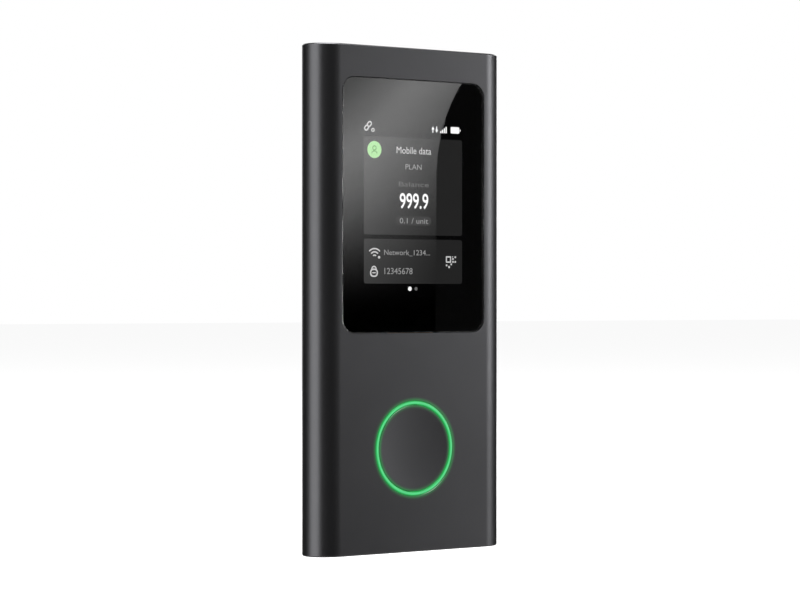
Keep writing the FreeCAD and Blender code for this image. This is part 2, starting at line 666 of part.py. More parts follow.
def build_sleeve():
    """Extruded tube with a window for the glass and a round hole for the ring light."""
    body = new_body("sleeve")
    add_pad(body, "XY", 0, body_height, lambda s: draw_section(s, as_size(0)))
    add_cut(body, "XY", 0, body_height, lambda s: draw_section(s, wall))
    window = middle(0, glass_width + glass_gap * 2)
    low, high = middle(glass_middle, glass_height + glass_gap * 2)
    add_cut(body, "XZ", front_face - 1, inner_front + 1, lambda s: draw_rectangle(s, *window, low, high))
    hole = ring_radius + ring_fit
    add_cut(body, "XZ", front_face - 1, inner_front + 1, lambda s: draw_circle(s, 0, ring_height, hole))
    half_window = window[1].number
    add_edge_work(
        body,
        "Fillet",
        glass_corner + glass_gap,
        lambda e: along(1, e) and abs(abs(e.CenterOfMass.x) - half_window) < 1e-3,
    )
    add_edge_work(body, "Chamfer", hole_break, lambda e: ring_rim(e, hole.number))
    ends = (0, body_height.number)
    add_edge_work(
        body,
        "Chamfer",
        end_chamfer,
        lambda e: any(at_level(2, z, e) for z in ends) and on_outline(e),
    )


def ring_rim(edge, radius):
    """Whether an edge is the circle of that radius on the sleeve's front face."""
    round_edge = curve_kind(edge) == "Part::GeomCircle"
    return round_edge and at_level(1, front_face.number, edge) and abs(edge.Curve.Radius - radius) < 1e-3


def on_outline(edge):
    """Whether an edge of an end face reaches the sleeve's outermost X or Y, as its bore's edges don't."""
    box = edge.BoundBox
    wide = max(abs(box.XMin), abs(box.XMax)) > body_width.number / 2 - 1e-3
    return wide or max(abs(box.YMin), abs(box.YMax)) > back_face.number - 1e-3


def build_cap(label, low, high, outer, inward):
    """End cap inside the sleeve, with two sunk screw holes. inward is +1 if the core lies above it."""
    body = new_body(label)
    add_pad(body, "XY", low, high, lambda s: draw_section(s, wall))
    hole = screw_radius + screw_gap
    sink = cap_screw_head + screw_gap
    seat = outer + cap_screw_sink if inward > 0 else outer - cap_screw_sink
    sunk = (low, seat) if inward > 0 else (seat, high)
    for radius, (start, stop) in ((hole, (low, high)), (sink, sunk)):
        for side in (cap_screw_x, -cap_screw_x):
            at = (side, cap_screw_y, radius)
            add_cut(body, "XY", start, stop, lambda s, at=at: draw_circle(s, *at))
    return body


def build_bottom_cap():
    body = build_cap("bottom_end_cap", cap_recess, cap_inner, cap_recess, 1)
    slot = (0, usb_middle, usb_width + usb_gap * 2, usb_height + usb_gap * 2)
    add_cut(body, "XY", cap_recess, cap_inner, lambda s: draw_stadium(s, *slot))


def build_top_cap():
    low, high = body_height - cap_inner, body_height - cap_recess
    body = build_cap("top_end_cap", low, high, high, -1)
    ledge = bezel_back - bezel_gap
    across = (bezel_left + bezel_right) / 2
    width = bezel_right - bezel_left + bezel_gap * 2
    height = bezel_height + bezel_gap * 2
    add_cut(body, "XY", ledge, high, lambda s: draw_stadium(s, across, tray_middle, width, height))
    x = middle(tray_x, tray_width + tray_gap * 2)
    y = middle(tray_middle, tray_thickness + tray_gap * 2)
    add_cut(body, "XY", low, ledge, lambda s: draw_rectangle(s, *x, *y))
    add_cut(body, "XY", low, ledge, lambda s: draw_circle(s, rod_x, tray_middle, rod_radius + rod_fit))


def screw(name, x, y, z, direction, head_radius, head_height, shank):
    """A pan head screw with a cross recess. It points along +Z, -Z or -Y from its head's seat."""
    turns = {
        "+Z": FreeCAD.Rotation(),
        "-Z": FreeCAD.Rotation(FreeCAD.Vector(1, 0, 0), 180),
        "-Y": FreeCAD.Rotation(FreeCAD.Vector(1, 0, 0), 90),
    }
    head = doc.addObject("Part::Cylinder", f"{name}_head")
    bind(head, "Radius", head_radius)
    bind(head, "Height", head_height)
    bind(head, "Placement.Base.z", -head_height)
    rod = doc.addObject("Part::Cylinder", f"{name}_shank")
    bind(rod, "Radius", screw_radius)
    bind(rod, "Height", shank)
    whole = doc.addObject("Part::Fuse", f"{name}_blank")
    whole.Base, whole.Tool = head, rod
    arm, half_arm = head_radius * cross_reach, head_radius * cross_half_width
    deep = (-head_height, head_height * cross_depth - head_height)
    bars = [
        box_shape(f"{name}_bar_{i}", (-long, long), (-wide, wide), deep)
        for i, (long, wide) in enumerate(((arm, half_arm), (half_arm, arm)))
    ]
    cross = doc.addObject("Part::Fuse", f"{name}_cross")
    cross.Base, cross.Tool = bars
    made = doc.addObject("Part::Cut", name)
    made.Base, made.Tool = whole, cross
    made.Placement.Rotation = turns[direction]
    for axis, value in (("x", x), ("y", y), ("z", z)):
        bind(made, f"Placement.Base.{axis}", value)
    return made


def build_cap_screws(label, z, direction):
    shank = cap_inner - cap_seat + cap_screw_reach
    members = [
        screw(f"{label}_{i}", x, cap_screw_y, z, direction, cap_screw_head, cap_screw_head_height, shank)
        for i, x in enumerate((-cap_screw_x, cap_screw_x))
    ]
    group(label, members)


# ---------------------------------------------------------------- screen


def rounded_plate(label, width, height, centre, low, high, corner):
    """A flat plate across the screen's face with rounded corners."""
    body = new_body(label)
    add_pad(body, "XZ", low, high, lambda s: draw_rectangle(s, *middle(0, width), *middle(centre, height)))
    add_edge_work(body, "Fillet", corner, lambda e: along(1, e))
    return body


def build_glass():
    body = rounded_plate(
        "cover_glass", glass_width, glass_height, glass_middle, glass_front, glass_back, glass_corner
    )
    add_edge_work(body, "Chamfer", glass_edge, lambda e: at_level(1, glass_front.number, e))


def build_tape():
    """Die-cut adhesive frame between the glass and the front carrier."""
    inset = tape_width * 2
    body = rounded_plate(
        "glass_adhesive", glass_width, glass_height, glass_middle, glass_back, core_front, glass_corner
    )
    x = middle(0, glass_width - inset)
    z = middle(glass_middle, glass_height - inset)
    add_cut(body, "XZ", glass_back, core_front, lambda s: draw_rectangle(s, *x, *z))


def build_display():
    rounded_plate(
        "display_panel", panel_width, panel_height, panel_middle, glass_back, panel_back, panel_corner
    )
    rounded_plate(
        "display_backlight",
        panel_width,
        panel_height,
        panel_middle,
        panel_back,
        backlight_back,
        panel_corner,
    )


def build_display_lead():
    """Flat lead that folds from the panel's foot to a connector on the board."""
    width = middle(0, display_lead_width)
    fold = panel_bottom - display_lead_fold
    plug_z = middle(fold - display_plug_drop, plug_length)
    rear = board_front - plug_height
    front = panel_back - display_lead_inset
    strips = [
        box_shape("lead_out", width, (front, front + lead_sheet), (fold, panel_bottom)),
        box_shape("lead_fold", width, (front, rear), (fold - lead_sheet, fold)),
        box_shape("lead_back", width, (rear - lead_sheet, rear), (plug_z[0], fold)),
    ]
    lead = doc.addObject("Part::MultiFuse", "display_lead")
    lead.Shapes = strips
    keep(lead, "display_lead")
    block("display_connector", width, (rear, board_front), plug_z)
    return plug_z


# ---------------------------------------------------------------- ring light and home button


def build_ring():
    """Light guide: a bead through the sleeve, and a flange behind it that the diodes shine into."""
    body = new_body("light_ring")
    bead_front = front_face + ring_sink
    add_pad(body, "XZ", bead_front, inner_front, lambda s: draw_circle(s, 0, ring_height, ring_radius))
    add_pad(body, "XZ", inner_front, ring_back, lambda s: draw_circle(s, 0, ring_height, flange_radius))
    add_cut(body, "XZ", bead_front, ring_back, lambda s: draw_circle(s, 0, ring_height, ring_bore))
    add_edge_work(body, "Fillet", ring_round, lambda e: at_level(1, bead_front.number, e))


def build_button():
    """Aluminium cap with a finger dish, ground as part of a sphere."""
    body = new_body("button_cap")
    add_pad(body, "XZ", button_front, button_back, lambda s: draw_circle(s, 0, ring_height, button_radius))
    dish = button_radius - button_lip
    sphere = (dish * dish + button_dish * button_dish) / (button_dish * 2)
    centre = button_front + button_dish - sphere
    sketch = sketch_on(body, "YZ", 0)
    draw_ball_section(sketch, centre, ring_height, sphere)
    before = body.Tip
    groove = body.newObject("PartDesign::Groove", "button_cap_dish")
    groove.Profile = sketch
    groove.ReferenceAxis = (sketch, ["H_Axis"])
    groove.Angle = 360
    cuts.append((groove, before))
    # The dish's axis runs through the ring's middle, so the sketch is lifted to it.
    sketch.setExpression("AttachmentOffset.Base.y", ring_height.formula)
    add_edge_work(body, "Chamfer", button_break, button_rim)


def button_rim(edge):
    """Whether an edge is the button cap's outer front circle."""
    round_edge = curve_kind(edge) == "Part::GeomCircle"
    same = round_edge and abs(edge.Curve.Radius - button_radius.number) < 1e-3
    return same and at_level(1, button_front.number, edge)


def draw_ball_section(sketch, across, up, radius):
    """Half of a ball's section, closed along the sketch's first axis: the upper half disc."""
    point = FreeCAD.Vector
    x, r = across.number, radius.number
    circle = Part.Circle(point(x, 0, 0), point(0, 0, 1), r)
    arc = sketch.addGeometry(Part.ArcOfCircle(circle, 0, math.pi), False)
    line = sketch.addGeometry(Part.LineSegment(point(x - r, 0, 0), point(x + r, 0, 0)), False)
    constrain(sketch, "Coincident", arc, START, line, END)
    constrain(sketch, "Coincident", arc, END, line, START)
    constrain(sketch, "PointOnObject", arc, CENTRE, HORIZONTAL_AXIS)
    constrain(sketch, "PointOnObject", line, START, HORIZONTAL_AXIS)
    constrain(sketch, "PointOnObject", line, END, HORIZONTAL_AXIS)
    constrain(sketch, "DistanceX", HORIZONTAL_AXIS, ORIGIN_POINT, arc, CENTRE, across)
    constrain(sketch, "Radius", arc, radius)


def build_hub():
    """Plastic hub bonded into the cap: its flange stops behind the ring, its post works the switch."""
    body = new_body("button_hub")
    disc = button_radius - hub_glue
    add_pad(body, "XZ", button_back, hub_front, lambda s: draw_circle(s, 0, ring_height, disc))
    add_pad(body, "XZ", hub_front, hub_back, lambda s: draw_circle(s, 0, ring_height, hub_radius))
    add_pad(body, "XZ", hub_back, plunger_front, lambda s: draw_circle(s, 0, ring_height, hub_post))


def build_led_board():
    body = new_body("ring_light_board")
    radius = led_board_radius
    add_pad(body, "XZ", led_board_front, led_board_back, lambda s: draw_circle(s, 0, ring_height, radius))
    bore = led_board_bore
    add_cut(body, "XZ", led_board_front, led_board_back, lambda s: draw_circle(s, 0, ring_height, bore))
    members = []
    for i in range(LED_COUNT):
        turn = 2 * math.pi * (i + 0.5) / LED_COUNT
        x = led_circle * math.cos(turn)
        z = ring_height + led_circle * math.sin(turn)
        y = (led_board_front - led_height, led_board_front)
        members.append(box_shape(f"diode_{i}", middle(x, led_size), y, middle(z, led_size)))
    group("ring_light_diodes", members)
    low = ring_height - led_board_radius + ring_plug_inset
    plug_y = (led_board_back, board_front)
    block("ring_light_connector", middle(0, ring_plug_width), plug_y, (low, low + plug_length))


def build_switch():
    """Snap-dome switch under the button's post: base, dome and plunger."""
    body = new_body("button_switch")
    x, z = middle(0, switch_side), middle(ring_height, switch_side)
    add_pad(body, "XZ", switch_front, board_front, lambda s: draw_rectangle(s, *x, *z))
    floor = board_front - switch_floor
    well = switch_front + switch_lid
    mouth = plunger_radius + plunger_fit
    add_cut(body, "XZ", well, floor, lambda s: draw_circle(s, 0, ring_height, switch_well))
    add_cut(body, "XZ", switch_front, well, lambda s: draw_circle(s, 0, ring_height, mouth))
    back = plunger_front + plunger_length
    plunger = cylinder_shape(
        "switch_plunger", 0, plunger_front, ring_height, plunger_radius, back - plunger_front, "Y"
    )
    keep(plunger, "switch_plunger")
    build_dome(floor)


def build_dome(floor):
    """Snap dome: the cap cut from a thin ball shell, its rim on the switch's floor."""
    radius = (dome_radius * dome_radius + dome_rise * dome_rise) / (dome_rise * 2)
    centre = floor - dome_rise + radius
    balls = []
    for name, r in (("dome_outer", radius), ("dome_inner", radius - dome_sheet)):
        ball = doc.addObject("Part::Sphere", name)
        bind(ball, "Radius", r)
        bind(ball, "Placement.Base.y", centre)
        bind(ball, "Placement.Base.z", ring_height)
        balls.append(ball)
    shell = doc.addObject("Part::Cut", "dome_shell")
    shell.Base, shell.Tool = balls
    x, z = middle(0, dome_radius * 4), middle(ring_height, dome_radius * 4)
    slab = box_shape("dome_slab", x, (floor - dome_rise * 2, floor), z)
    dome = doc.addObject("Part::Common", "switch_dome")
    dome.Base, dome.Tool = shell, slab
    keep(dome, "switch_dome")


# ---------------------------------------------------------------- carriers and board


def screw_points():
    return [(x, z) for z in screw_rows for x in (-screw_x, screw_x)]


def build_front_carrier(plug_z):
    """Front half of the core: it frames the display, holds the ring light and takes the board screws."""
    body = new_body("front_carrier")
    inset = wall + slide_gap
    add_pad(body, "XY", front_core_end, front_core_top, lambda s: draw_section(s, inset))
    behind = (board_front, back_face + 1)
    x = middle(0, body_width * 2)
    add_cut(
        body, "XY", front_core_end - 1, front_core_top + 1, lambda s: draw_rectangle(s, *x, *behind)
    )
    bay_x = middle(0, panel_width + bay_gap * 2)
    bay_z = middle(panel_middle, panel_height + bay_gap * 2)
    add_cut(body, "XZ", core_front, board_front, lambda s: draw_rectangle(s, *bay_x, *bay_z))
    bore = flange_radius + bay_gap
    add_cut(body, "XZ", core_front, led_board_front, lambda s: draw_circle(s, 0, ring_height, bore))
    seat = led_board_radius + bay_gap
    add_cut(body, "XZ", led_board_front, board_front, lambda s: draw_circle(s, 0, ring_height, seat))
    lead_x = middle(0, display_lead_width + bay_gap * 2)
    front = panel_back - display_lead_inset - bay_gap * 2
    low = plug_z[0] - bay_gap
    high = panel_bottom + bay_gap
    add_cut(body, "XZ", front, board_front, lambda s: draw_rectangle(s, *lead_x, low, high))
    notch = clip_height + bay_gap
    length = clip_length + bay_gap * 2
    for x in (clip_x, -clip_x):
        for z in ((front_core_end, front_core_end + length), (front_core_top - length, front_core_top)):
            sides = middle(x, clip_width + bay_gap * 2)
            add_cut(
                body,
                "XZ",
                board_front - notch,
                board_front,
                lambda s, sides=sides, z=z: draw_rectangle(s, *sides, *z),
            )
    depth = screw_length - screw_seat - board_thickness + screw_gap
    for x, z in screw_points():
        thread = screw_radius + thread_gap
        add_cut(
            body,
            "XZ",
            board_front - depth,
            board_front,
            lambda s, x=x, z=z: draw_circle(s, x, z, thread),
        )


def build_board():
    body = new_body("main_board")
    x, z = middle(0, board_half_width * 2), (board_end, body_height - board_end)
    add_pad(body, "XZ", board_front, board_back, lambda s: draw_rectangle(s, *x, *z))
    hole = screw_radius + screw_gap
    for x, z in screw_points():
        add_cut(body, "XZ", board_front, board_back, lambda s, x=x, z=z: draw_circle(s, x, z, hole))


def build_rear_carrier():
    """Rear half of the core: battery tray, bays for the shields and sockets, and the cap screws' holes."""
    body = new_body("rear_carrier")
    inset = wall + slide_gap
    add_pad(body, "XY", core_end, core_top, lambda s: draw_section(s, inset))
    wide = middle(0, body_width * 2)
    ahead = (front_face - 1, board_back)
    add_cut(body, "XY", core_end - 1, core_top + 1, lambda s: draw_rectangle(s, *wide, *ahead))
    # The battery lies on a thin floor; the other bays go right through to the board.
    battery_x = middle(0, battery_width + bay_gap * 2)
    battery_z = (battery_bottom - bay_gap, battery_bay_top)
    floor = board_back + floor_thickness
    add_cut(body, "XZ", floor, back_face, lambda s: draw_rectangle(s, *battery_x, *battery_z))
    bay_x = middle(0, bay_half_width * 2)
    for bay in ((lower_bay_bottom, lower_bay_top), (upper_bay_bottom, body_height - socket_end)):
        add_cut(body, "XZ", board_back, back_face, lambda s, bay=bay: draw_rectangle(s, *bay_x, *bay))
    lead_x = middle(lead_middle, lead_width + bay_gap * 4)
    notch = (battery_top, upper_bay_bottom + bay_gap)
    add_cut(body, "XZ", board_back, back_face, lambda s: draw_rectangle(s, *lead_x, *notch))
    usb_x = middle(0, usb_width + bay_gap * 2)
    usb_z = (core_end, lower_bay_bottom + bay_gap)
    usb_back = board_back + usb_height + bay_gap
    add_cut(body, "XZ", board_back, usb_back, lambda s: draw_rectangle(s, *usb_x, *usb_z))
    socket_x = (socket_left - bay_gap, socket_right + bay_gap)
    socket_z = (body_height - socket_end - bay_gap, core_top)
    add_cut(body, "XZ", board_back, lid_back + bay_gap, lambda s: draw_rectangle(s, *socket_x, *socket_z))
    add_screw_seats(body)
    add_cap_threads(body)


def add_screw_seats(body):
    """Stepped holes for the board screws, open to the rear."""
    seat = board_back + screw_seat
    for x, z in screw_points():
        hole = screw_radius + screw_gap
        head = screw_head + screw_gap
        add_cut(body, "XZ", board_back, seat, lambda s, x=x, z=z: draw_circle(s, x, z, hole))
        add_cut(body, "XZ", seat, back_face, lambda s, x=x, z=z: draw_circle(s, x, z, head))


def add_cap_threads(body):
    """Threaded holes for the cap screws, one pair in each end."""
    depth = cap_screw_reach + screw_gap
    thread = screw_radius + thread_gap
    for low, high in ((core_end, core_end + depth), (core_top - depth, core_top)):
        for x in (cap_screw_x, -cap_screw_x):
            add_cut(body, "XY", low, high, lambda s, x=x: draw_circle(s, x, cap_screw_y, thread))


def build_board_screws():
    seat = board_back + screw_seat
    members = [
        screw(f"board_screw_{i}", x, seat, z, "-Y", screw_head, screw_head_height, screw_length)
        for i, (x, z) in enumerate(screw_points())
    ]
    group("board_screws", members)


def build_antennas():
    """Sheet antennas on the front carrier's ends, behind the plastic caps, and their board clips."""
    y = (core_front + bay_gap, board_front - bay_gap)
    levels = {
        "bottom": (front_core_end - antenna_sheet, front_core_end),
        "top": (front_core_top, front_core_top + antenna_sheet),
    }
    for end, z in levels.items():
        for side, sign in (("left", -1), ("right", 1)):
            body = new_body(f"antenna_{end}_{side}")
            x = middle(antenna_middle * sign, antenna_width)
            add_pad(body, "XY", *z, lambda s, x=x: draw_rectangle(s, *x, *y))
            # Three slits, cut in from either edge by turns, divide the sheet in four.
            for k in (-1, 0, 1):
                slit = middle(antenna_middle * sign + antenna_width / 4 * k, antenna_slit)
                edge = (y[0] + antenna_bridge, y[1]) if k else (y[0], y[1] - antenna_bridge)
                add_cut(body, "XY", *z, lambda s, slit=slit, edge=edge: draw_rectangle(s, *slit, *edge))
    members = []
    for x in (-clip_x, clip_x):
        for low in (front_core_end, front_core_top - clip_length):
            z = (low, low + clip_length)
            y = (board_front - clip_height, board_front)
            members.append(box_shape(f"clip_{len(members)}", middle(x, clip_width), y, z))
    group("antenna_clips", members)


# ---------------------------------------------------------------- battery, chips and charging socket


def build_battery():
    """Pouch cell on adhesive strips, with its guard board, flat lead and connector."""
    body = new_body("battery")
    x, z = middle(0, battery_width), (battery_bottom, battery_top)
    add_pad(body, "XZ", battery_front, battery_back, lambda s: draw_rectangle(s, *x, *z))
    add_edge_work(body, "Fillet", battery_corner, lambda e: along(2, e))
    strips = [
        box_shape(
            f"strip_{i}",
            middle(battery_width / 4 * side, strip_width),
            (battery_front - battery_glue, battery_front),
            (battery_bottom + strip_end, battery_top - strip_end),
        )
        for i, side in enumerate((-1, 1))
    ]
    group("battery_adhesive", strips)
    guard = (battery_front, battery_front + guard_thickness)
    block("battery_guard_board", middle(0, guard_width), guard, (battery_top, guard_top))
    lead_y = (board_back + plug_height, board_back + plug_height + lead_sheet)
    lead_x = middle(lead_middle, lead_width)
    block("battery_lead", lead_x, lead_y, (guard_top, guard_top + lead_reach))
    plug = (guard_top + lead_reach - plug_length, guard_top + lead_reach)
    block("battery_connector", lead_x, (board_back, lead_y[0]), plug)


def build_can(label, x, z, width, length, height):
    """Drawn sheet shield on the board's rear face, open towards the board."""
    body = new_body(label)
    top = board_back + height
    sides, ends = middle(x, width), middle(z, length)
    add_pad(body, "XZ", board_back, top, lambda s: draw_rectangle(s, *sides, *ends))
    add_edge_work(body, "Fillet", can_corner, lambda e: along(1, e))
    sides, ends = middle(x, width - can_sheet * 2), middle(z, length - can_sheet * 2)
    add_cut(body, "XZ", board_back, top - can_sheet, lambda s: draw_rectangle(s, *sides, *ends))


def build_chips():
    build_can("modem_shield", modem_x, modem_z, modem_width, modem_length, modem_height)
    build_can("power_shield", power_x, modem_z, power_width, power_length, power_height)
    build_can("radio_shield", radio_x, radio_z, radio_width, radio_length, radio_height)
    chip_sets = (
        ("modem_chips", modem_x, modem_z, modem_width, modem_length, modem_chip_height),
        ("power_chips", power_x, modem_z, power_width, power_length, chip_height),
        ("radio_chips", radio_x, radio_z, radio_width, radio_length, chip_height),
    )
    for label, x, z, width, length, height in chip_sets:
        room_x = width - chip_gap * 2
        room_z = length - chip_gap * 2
        y = (board_back, board_back + height)
        small = room_z * SMALL_CHIP_SIDE
        across = middle(x, room_x * LARGE_CHIP_WIDTH)
        up = middle(z + small * LARGE_CHIP_RISE, room_z * LARGE_CHIP_LENGTH)
        chips = [box_shape(f"{label}_large", across, y, up)]
        for side, sign in (("left", -1), ("right", 1)):
            across = middle(x + room_x * SMALL_CHIP_OFFSET * sign, room_x * SMALL_CHIP_SIDE)
            chips.append(box_shape(f"{label}_{side}", across, y, middle(z - small, small)))
        group(label, chips)
    pad_front = board_back + modem_height
    pad_back = pad_front + pad_thickness
    width, length = modem_width - pad_inset * 2, modem_length - pad_inset * 2
    block("thermal_pad", middle(modem_x, width), (pad_front, pad_back), middle(modem_z, length))
    x, z = middle(modem_x, modem_width), middle(modem_z, modem_length)
    block("heat_spreader", x, (pad_back, inner_back), z)


def build_usb_socket():
    """Reversible charging socket: drawn shell, and a contact tongue on its base."""
    shell = new_body("usb_socket_shell")
    outer = (0, usb_middle, usb_width, usb_height)
    inner = (0, usb_middle, usb_width - usb_wall * 2, usb_height - usb_wall * 2)
    mouth_end = usb_end - usb_wall
    add_pad(shell, "XY", usb_front, usb_end, lambda s: draw_stadium(s, *outer))
    add_cut(shell, "XY", usb_front, mouth_end, lambda s: draw_stadium(s, *inner))
    tongue = new_body("usb_socket_tongue")
    base = mouth_end - tongue_base
    base_outline = (0, usb_middle, inner[2] - touch_gap * 2, inner[3] - touch_gap * 2)
    x, y = middle(0, tongue_width), middle(usb_middle, tongue_thickness)
    add_pad(tongue, "XY", base, mouth_end, lambda s: draw_stadium(s, *base_outline))
    add_pad(tongue, "XY", base - tongue_length, base, lambda s: draw_rectangle(s, *x, *y))


# ---------------------------------------------------------------- card tray and ejector


def build_tray():
    """Card tray: a thin plate with a card seat, and a bezel that closes the cap's slot."""
    body = new_body("sim_tray")
    x, y = middle(tray_x, tray_width), middle(tray_middle, tray_thickness)
    add_pad(body, "XY", tray_foot, bezel_back, lambda s: draw_rectangle(s, *x, *y))
    across = (bezel_left + bezel_right) / 2
    face = (across, tray_middle, bezel_right - bezel_left, bezel_height)
    add_pad(body, "XY", bezel_back, bezel_face, lambda s: draw_stadium(s, *face))
    seat_z = (tray_foot + card_foot, tray_foot + card_foot + card_length)
    seat_x = middle(tray_x, card_width)
    back = tray_middle + tray_thickness / 2
    add_cut(body, "XZ", back - card_depth, back, lambda s: draw_rectangle(s, *seat_x, *seat_z))
    window_x = middle(tray_x, card_width - card_ledge * 2)
    window_z = (seat_z[0] + card_ledge, seat_z[1] - card_ledge)
    front = tray_middle - tray_thickness / 2
    add_cut(body, "XZ", front, back - card_depth, lambda s: draw_rectangle(s, *window_x, *window_z))
    add_cut(body, "XY", bezel_back, bezel_face, lambda s: draw_circle(s, rod_x, tray_middle, pinhole_radius))


def build_card_socket():
    """Moulded base with the tray's channel and the ejector's cavity, its sheet cover and contacts."""
    base = new_body("sim_socket_base")
    x, z = (socket_left, socket_right), (socket_foot, socket_top)
    add_pad(base, "XZ", board_back, lid_front, lambda s: draw_rectangle(s, *x, *z))
    floor = board_back + socket_floor
    channel = middle(tray_x, tray_width + tray_gap * 2)
    cavity_top = tray_foot + tray_gap
    cavity_foot = socket_foot + bay_gap
    rod_sides = middle(rod_x, rod_channel * 2)
    bays = (
        (channel, (cavity_foot, socket_top)),
        (rod_sides, (cavity_foot, socket_top)),
        ((channel[0], rod_x + lever_tip + bay_gap), (cavity_foot, cavity_top)),
    )
    for sides, ends in bays:
        add_cut(base, "XZ", floor, lid_front, lambda s, a=sides, b=ends: draw_rectangle(s, *a, *b))
    cover = new_body("sim_socket_cover")
    add_pad(cover, "XZ", lid_front, lid_back, lambda s: draw_rectangle(s, *x, *z))
    for side in (-1, 1):
        window = middle(tray_x + window_offset * side, window_width)
        span = middle(tray_foot + window_rise, window_length)
        add_cut(cover, "XZ", lid_front, lid_back, lambda s, a=window, b=span: draw_rectangle(s, *a, *b))
    members = []
    for column in (-1, 0, 1):
        for row in (0, 1):
            sides = middle(tray_x + contact_pitch * column, contact_width)
            ends = middle(tray_foot + contact_foot + contact_rise * row, contact_length)
            name = f"contact_{len(members)}"
            members.append(box_shape(name, sides, (floor, floor + contact_sheet), ends))
    group("sim_contacts", members)
    boss = lever_front - touch_gap
    add_pad(base, "XZ", floor, boss, lambda s: draw_circle(s, pivot_x, lever_z, lever_boss))
    pin = new_body("sim_lever_pin")
    neck = lever_back + touch_gap
    add_pad(pin, "XZ", boss, neck, lambda s: draw_circle(s, pivot_x, lever_z, pivot_radius))
    add_pad(pin, "XZ", neck, lid_front, lambda s: draw_circle(s, pivot_x, lever_z, pin_head))


def build_ejector():
    """Rod under the pinhole, lever on its pin, and the pusher bar that lifts the tray."""
    rod = cylinder_shape(
        "sim_eject_rod", rod_x, tray_middle, rod_foot, rod_radius, rod_top - rod_foot
    )
    keep(rod, "sim_eject_rod")
    lever = new_body("sim_eject_lever")
    y = (lever_front, lever_back)
    arms = (pusher_tip_x, rod_x, *middle(lever_z, lever_arm))
    add_pad(lever, "XZ", *y, lambda s: draw_rectangle(s, *arms))
    for x, radius in ((pusher_tip_x, lever_tip), (rod_x, lever_tip), (pivot_x, lever_boss)):
        add_pad(lever, "XZ", *y, lambda s, x=x, radius=radius: draw_circle(s, x, lever_z, radius))
    bore = pivot_radius + pivot_gap
    add_cut(lever, "XZ", *y, lambda s: draw_circle(s, pivot_x, lever_z, bore))
    build_pusher()


def build_pusher():
    """Bar as wide as the tray's channel, with a leg down to the lever's tip."""
    body = new_body("sim_eject_pusher")
    x = middle(tray_x, tray_width + tray_gap * 2 - pusher_fit * 2)
    y = middle(tray_middle, pusher_thickness)
    leg = (x[0], x[0] + pusher_leg_width)
    bar = (pusher_foot + pusher_leg, pusher_top)
    add_pad(body, "XZ", *y, lambda s: draw_rectangle(s, *x, *bar))
    add_pad(body, "XZ", *y, lambda s: draw_rectangle(s, *leg, pusher_foot, bar[0]))


# ---------------------------------------------------------------- build, check and export


def check_document():
    """Stops on a failed object, a cut that removed nothing, or a sub-part that isn't a sound solid."""
    for thing in doc.Objects:
        if {"Invalid", "Error"} & set(thing.State):
            raise ValueError(f"{thing.Label} failed: {thing.State}")
    for cut, before in cuts:
        if cut.Shape.Volume > before.Shape.Volume - 1e-6:
            raise ValueError(f"{cut.Label} removed nothing")
    for piece in pieces:
        shape = piece.Shape
        if shape.isNull() or not shape.isValid() or not shape.Solids:
            raise ValueError(f"{piece.Label} is not a sound solid")


def main():
    doc.recompute()
    build_sleeve()
    build_bottom_cap()
    build_top_cap()
    build_cap_screws("bottom_cap_screws", cap_seat, "+Z")
    build_cap_screws("top_cap_screws", body_height - cap_seat, "-Z")
    build_glass()
    build_tape()
    build_display()
    plug_z = build_display_lead()
    build_ring()
    build_button()
    build_hub()
    build_led_board()
    build_switch()
    build_front_carrier(plug_z)
    build_board()
    build_rear_carrier()
    build_board_screws()
    build_antennas()
    build_battery()
    build_chips()
    build_usb_socket()
    build_tray()
    build_card_socket()
    build_ejector()
    doc.recompute()
    check_document()
    os.makedirs("parts", exist_ok=True)
    for piece in pieces:
        piece.Shape.exportStep(os.path.join("parts", f"{piece.Label}.step"))
    print(len(pieces), "sub-parts written")


main()
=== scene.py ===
# %% [markdown]
# # A pocket hotspot
# The object is a slim battery device that stands on its end: a metal sleeve, a sheet of
# glass over a lit display, a dished round button in a ring of green light, and a black
# plastic cap in each end of the sleeve. Inside are a board, a battery and a card socket.
# The engineering model comes in first and stays where it is. What a hand or an eye meets
# is then modelled again, finely, around it, and everything is given its finish.

import json
import math

import bmesh
import bpy
from mathutils import Matrix, Vector


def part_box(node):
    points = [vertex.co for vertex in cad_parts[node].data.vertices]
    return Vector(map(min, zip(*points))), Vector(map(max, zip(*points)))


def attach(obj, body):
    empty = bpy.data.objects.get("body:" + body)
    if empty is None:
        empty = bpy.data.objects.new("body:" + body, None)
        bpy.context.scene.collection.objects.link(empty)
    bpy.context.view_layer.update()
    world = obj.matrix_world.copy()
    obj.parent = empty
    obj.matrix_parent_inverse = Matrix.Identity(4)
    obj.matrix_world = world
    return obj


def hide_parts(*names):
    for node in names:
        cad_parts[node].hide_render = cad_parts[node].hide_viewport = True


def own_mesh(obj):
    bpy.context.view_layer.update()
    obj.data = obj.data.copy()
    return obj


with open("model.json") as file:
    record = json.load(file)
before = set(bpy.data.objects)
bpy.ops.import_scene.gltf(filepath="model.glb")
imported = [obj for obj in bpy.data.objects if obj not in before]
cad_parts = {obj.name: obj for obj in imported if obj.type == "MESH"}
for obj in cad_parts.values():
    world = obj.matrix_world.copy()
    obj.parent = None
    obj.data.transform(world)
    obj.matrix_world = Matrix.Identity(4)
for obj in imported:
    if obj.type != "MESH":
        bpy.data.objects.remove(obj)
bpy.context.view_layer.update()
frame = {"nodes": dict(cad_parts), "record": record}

# %% [markdown]
# ## Sizes
# The sizes below are in millimetres, as on the maker's drawing, and a finished mesh is
# scaled to metres in one step. A place that another piece already fixes is read from
# that piece's box, so that the two can't drift apart.

# %% Sizes
MM = 0.001


def box_mm(node):
    """The lowest and highest corner of one engineering piece, in millimetres."""
    low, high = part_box(node)
    return low / MM, high / MM


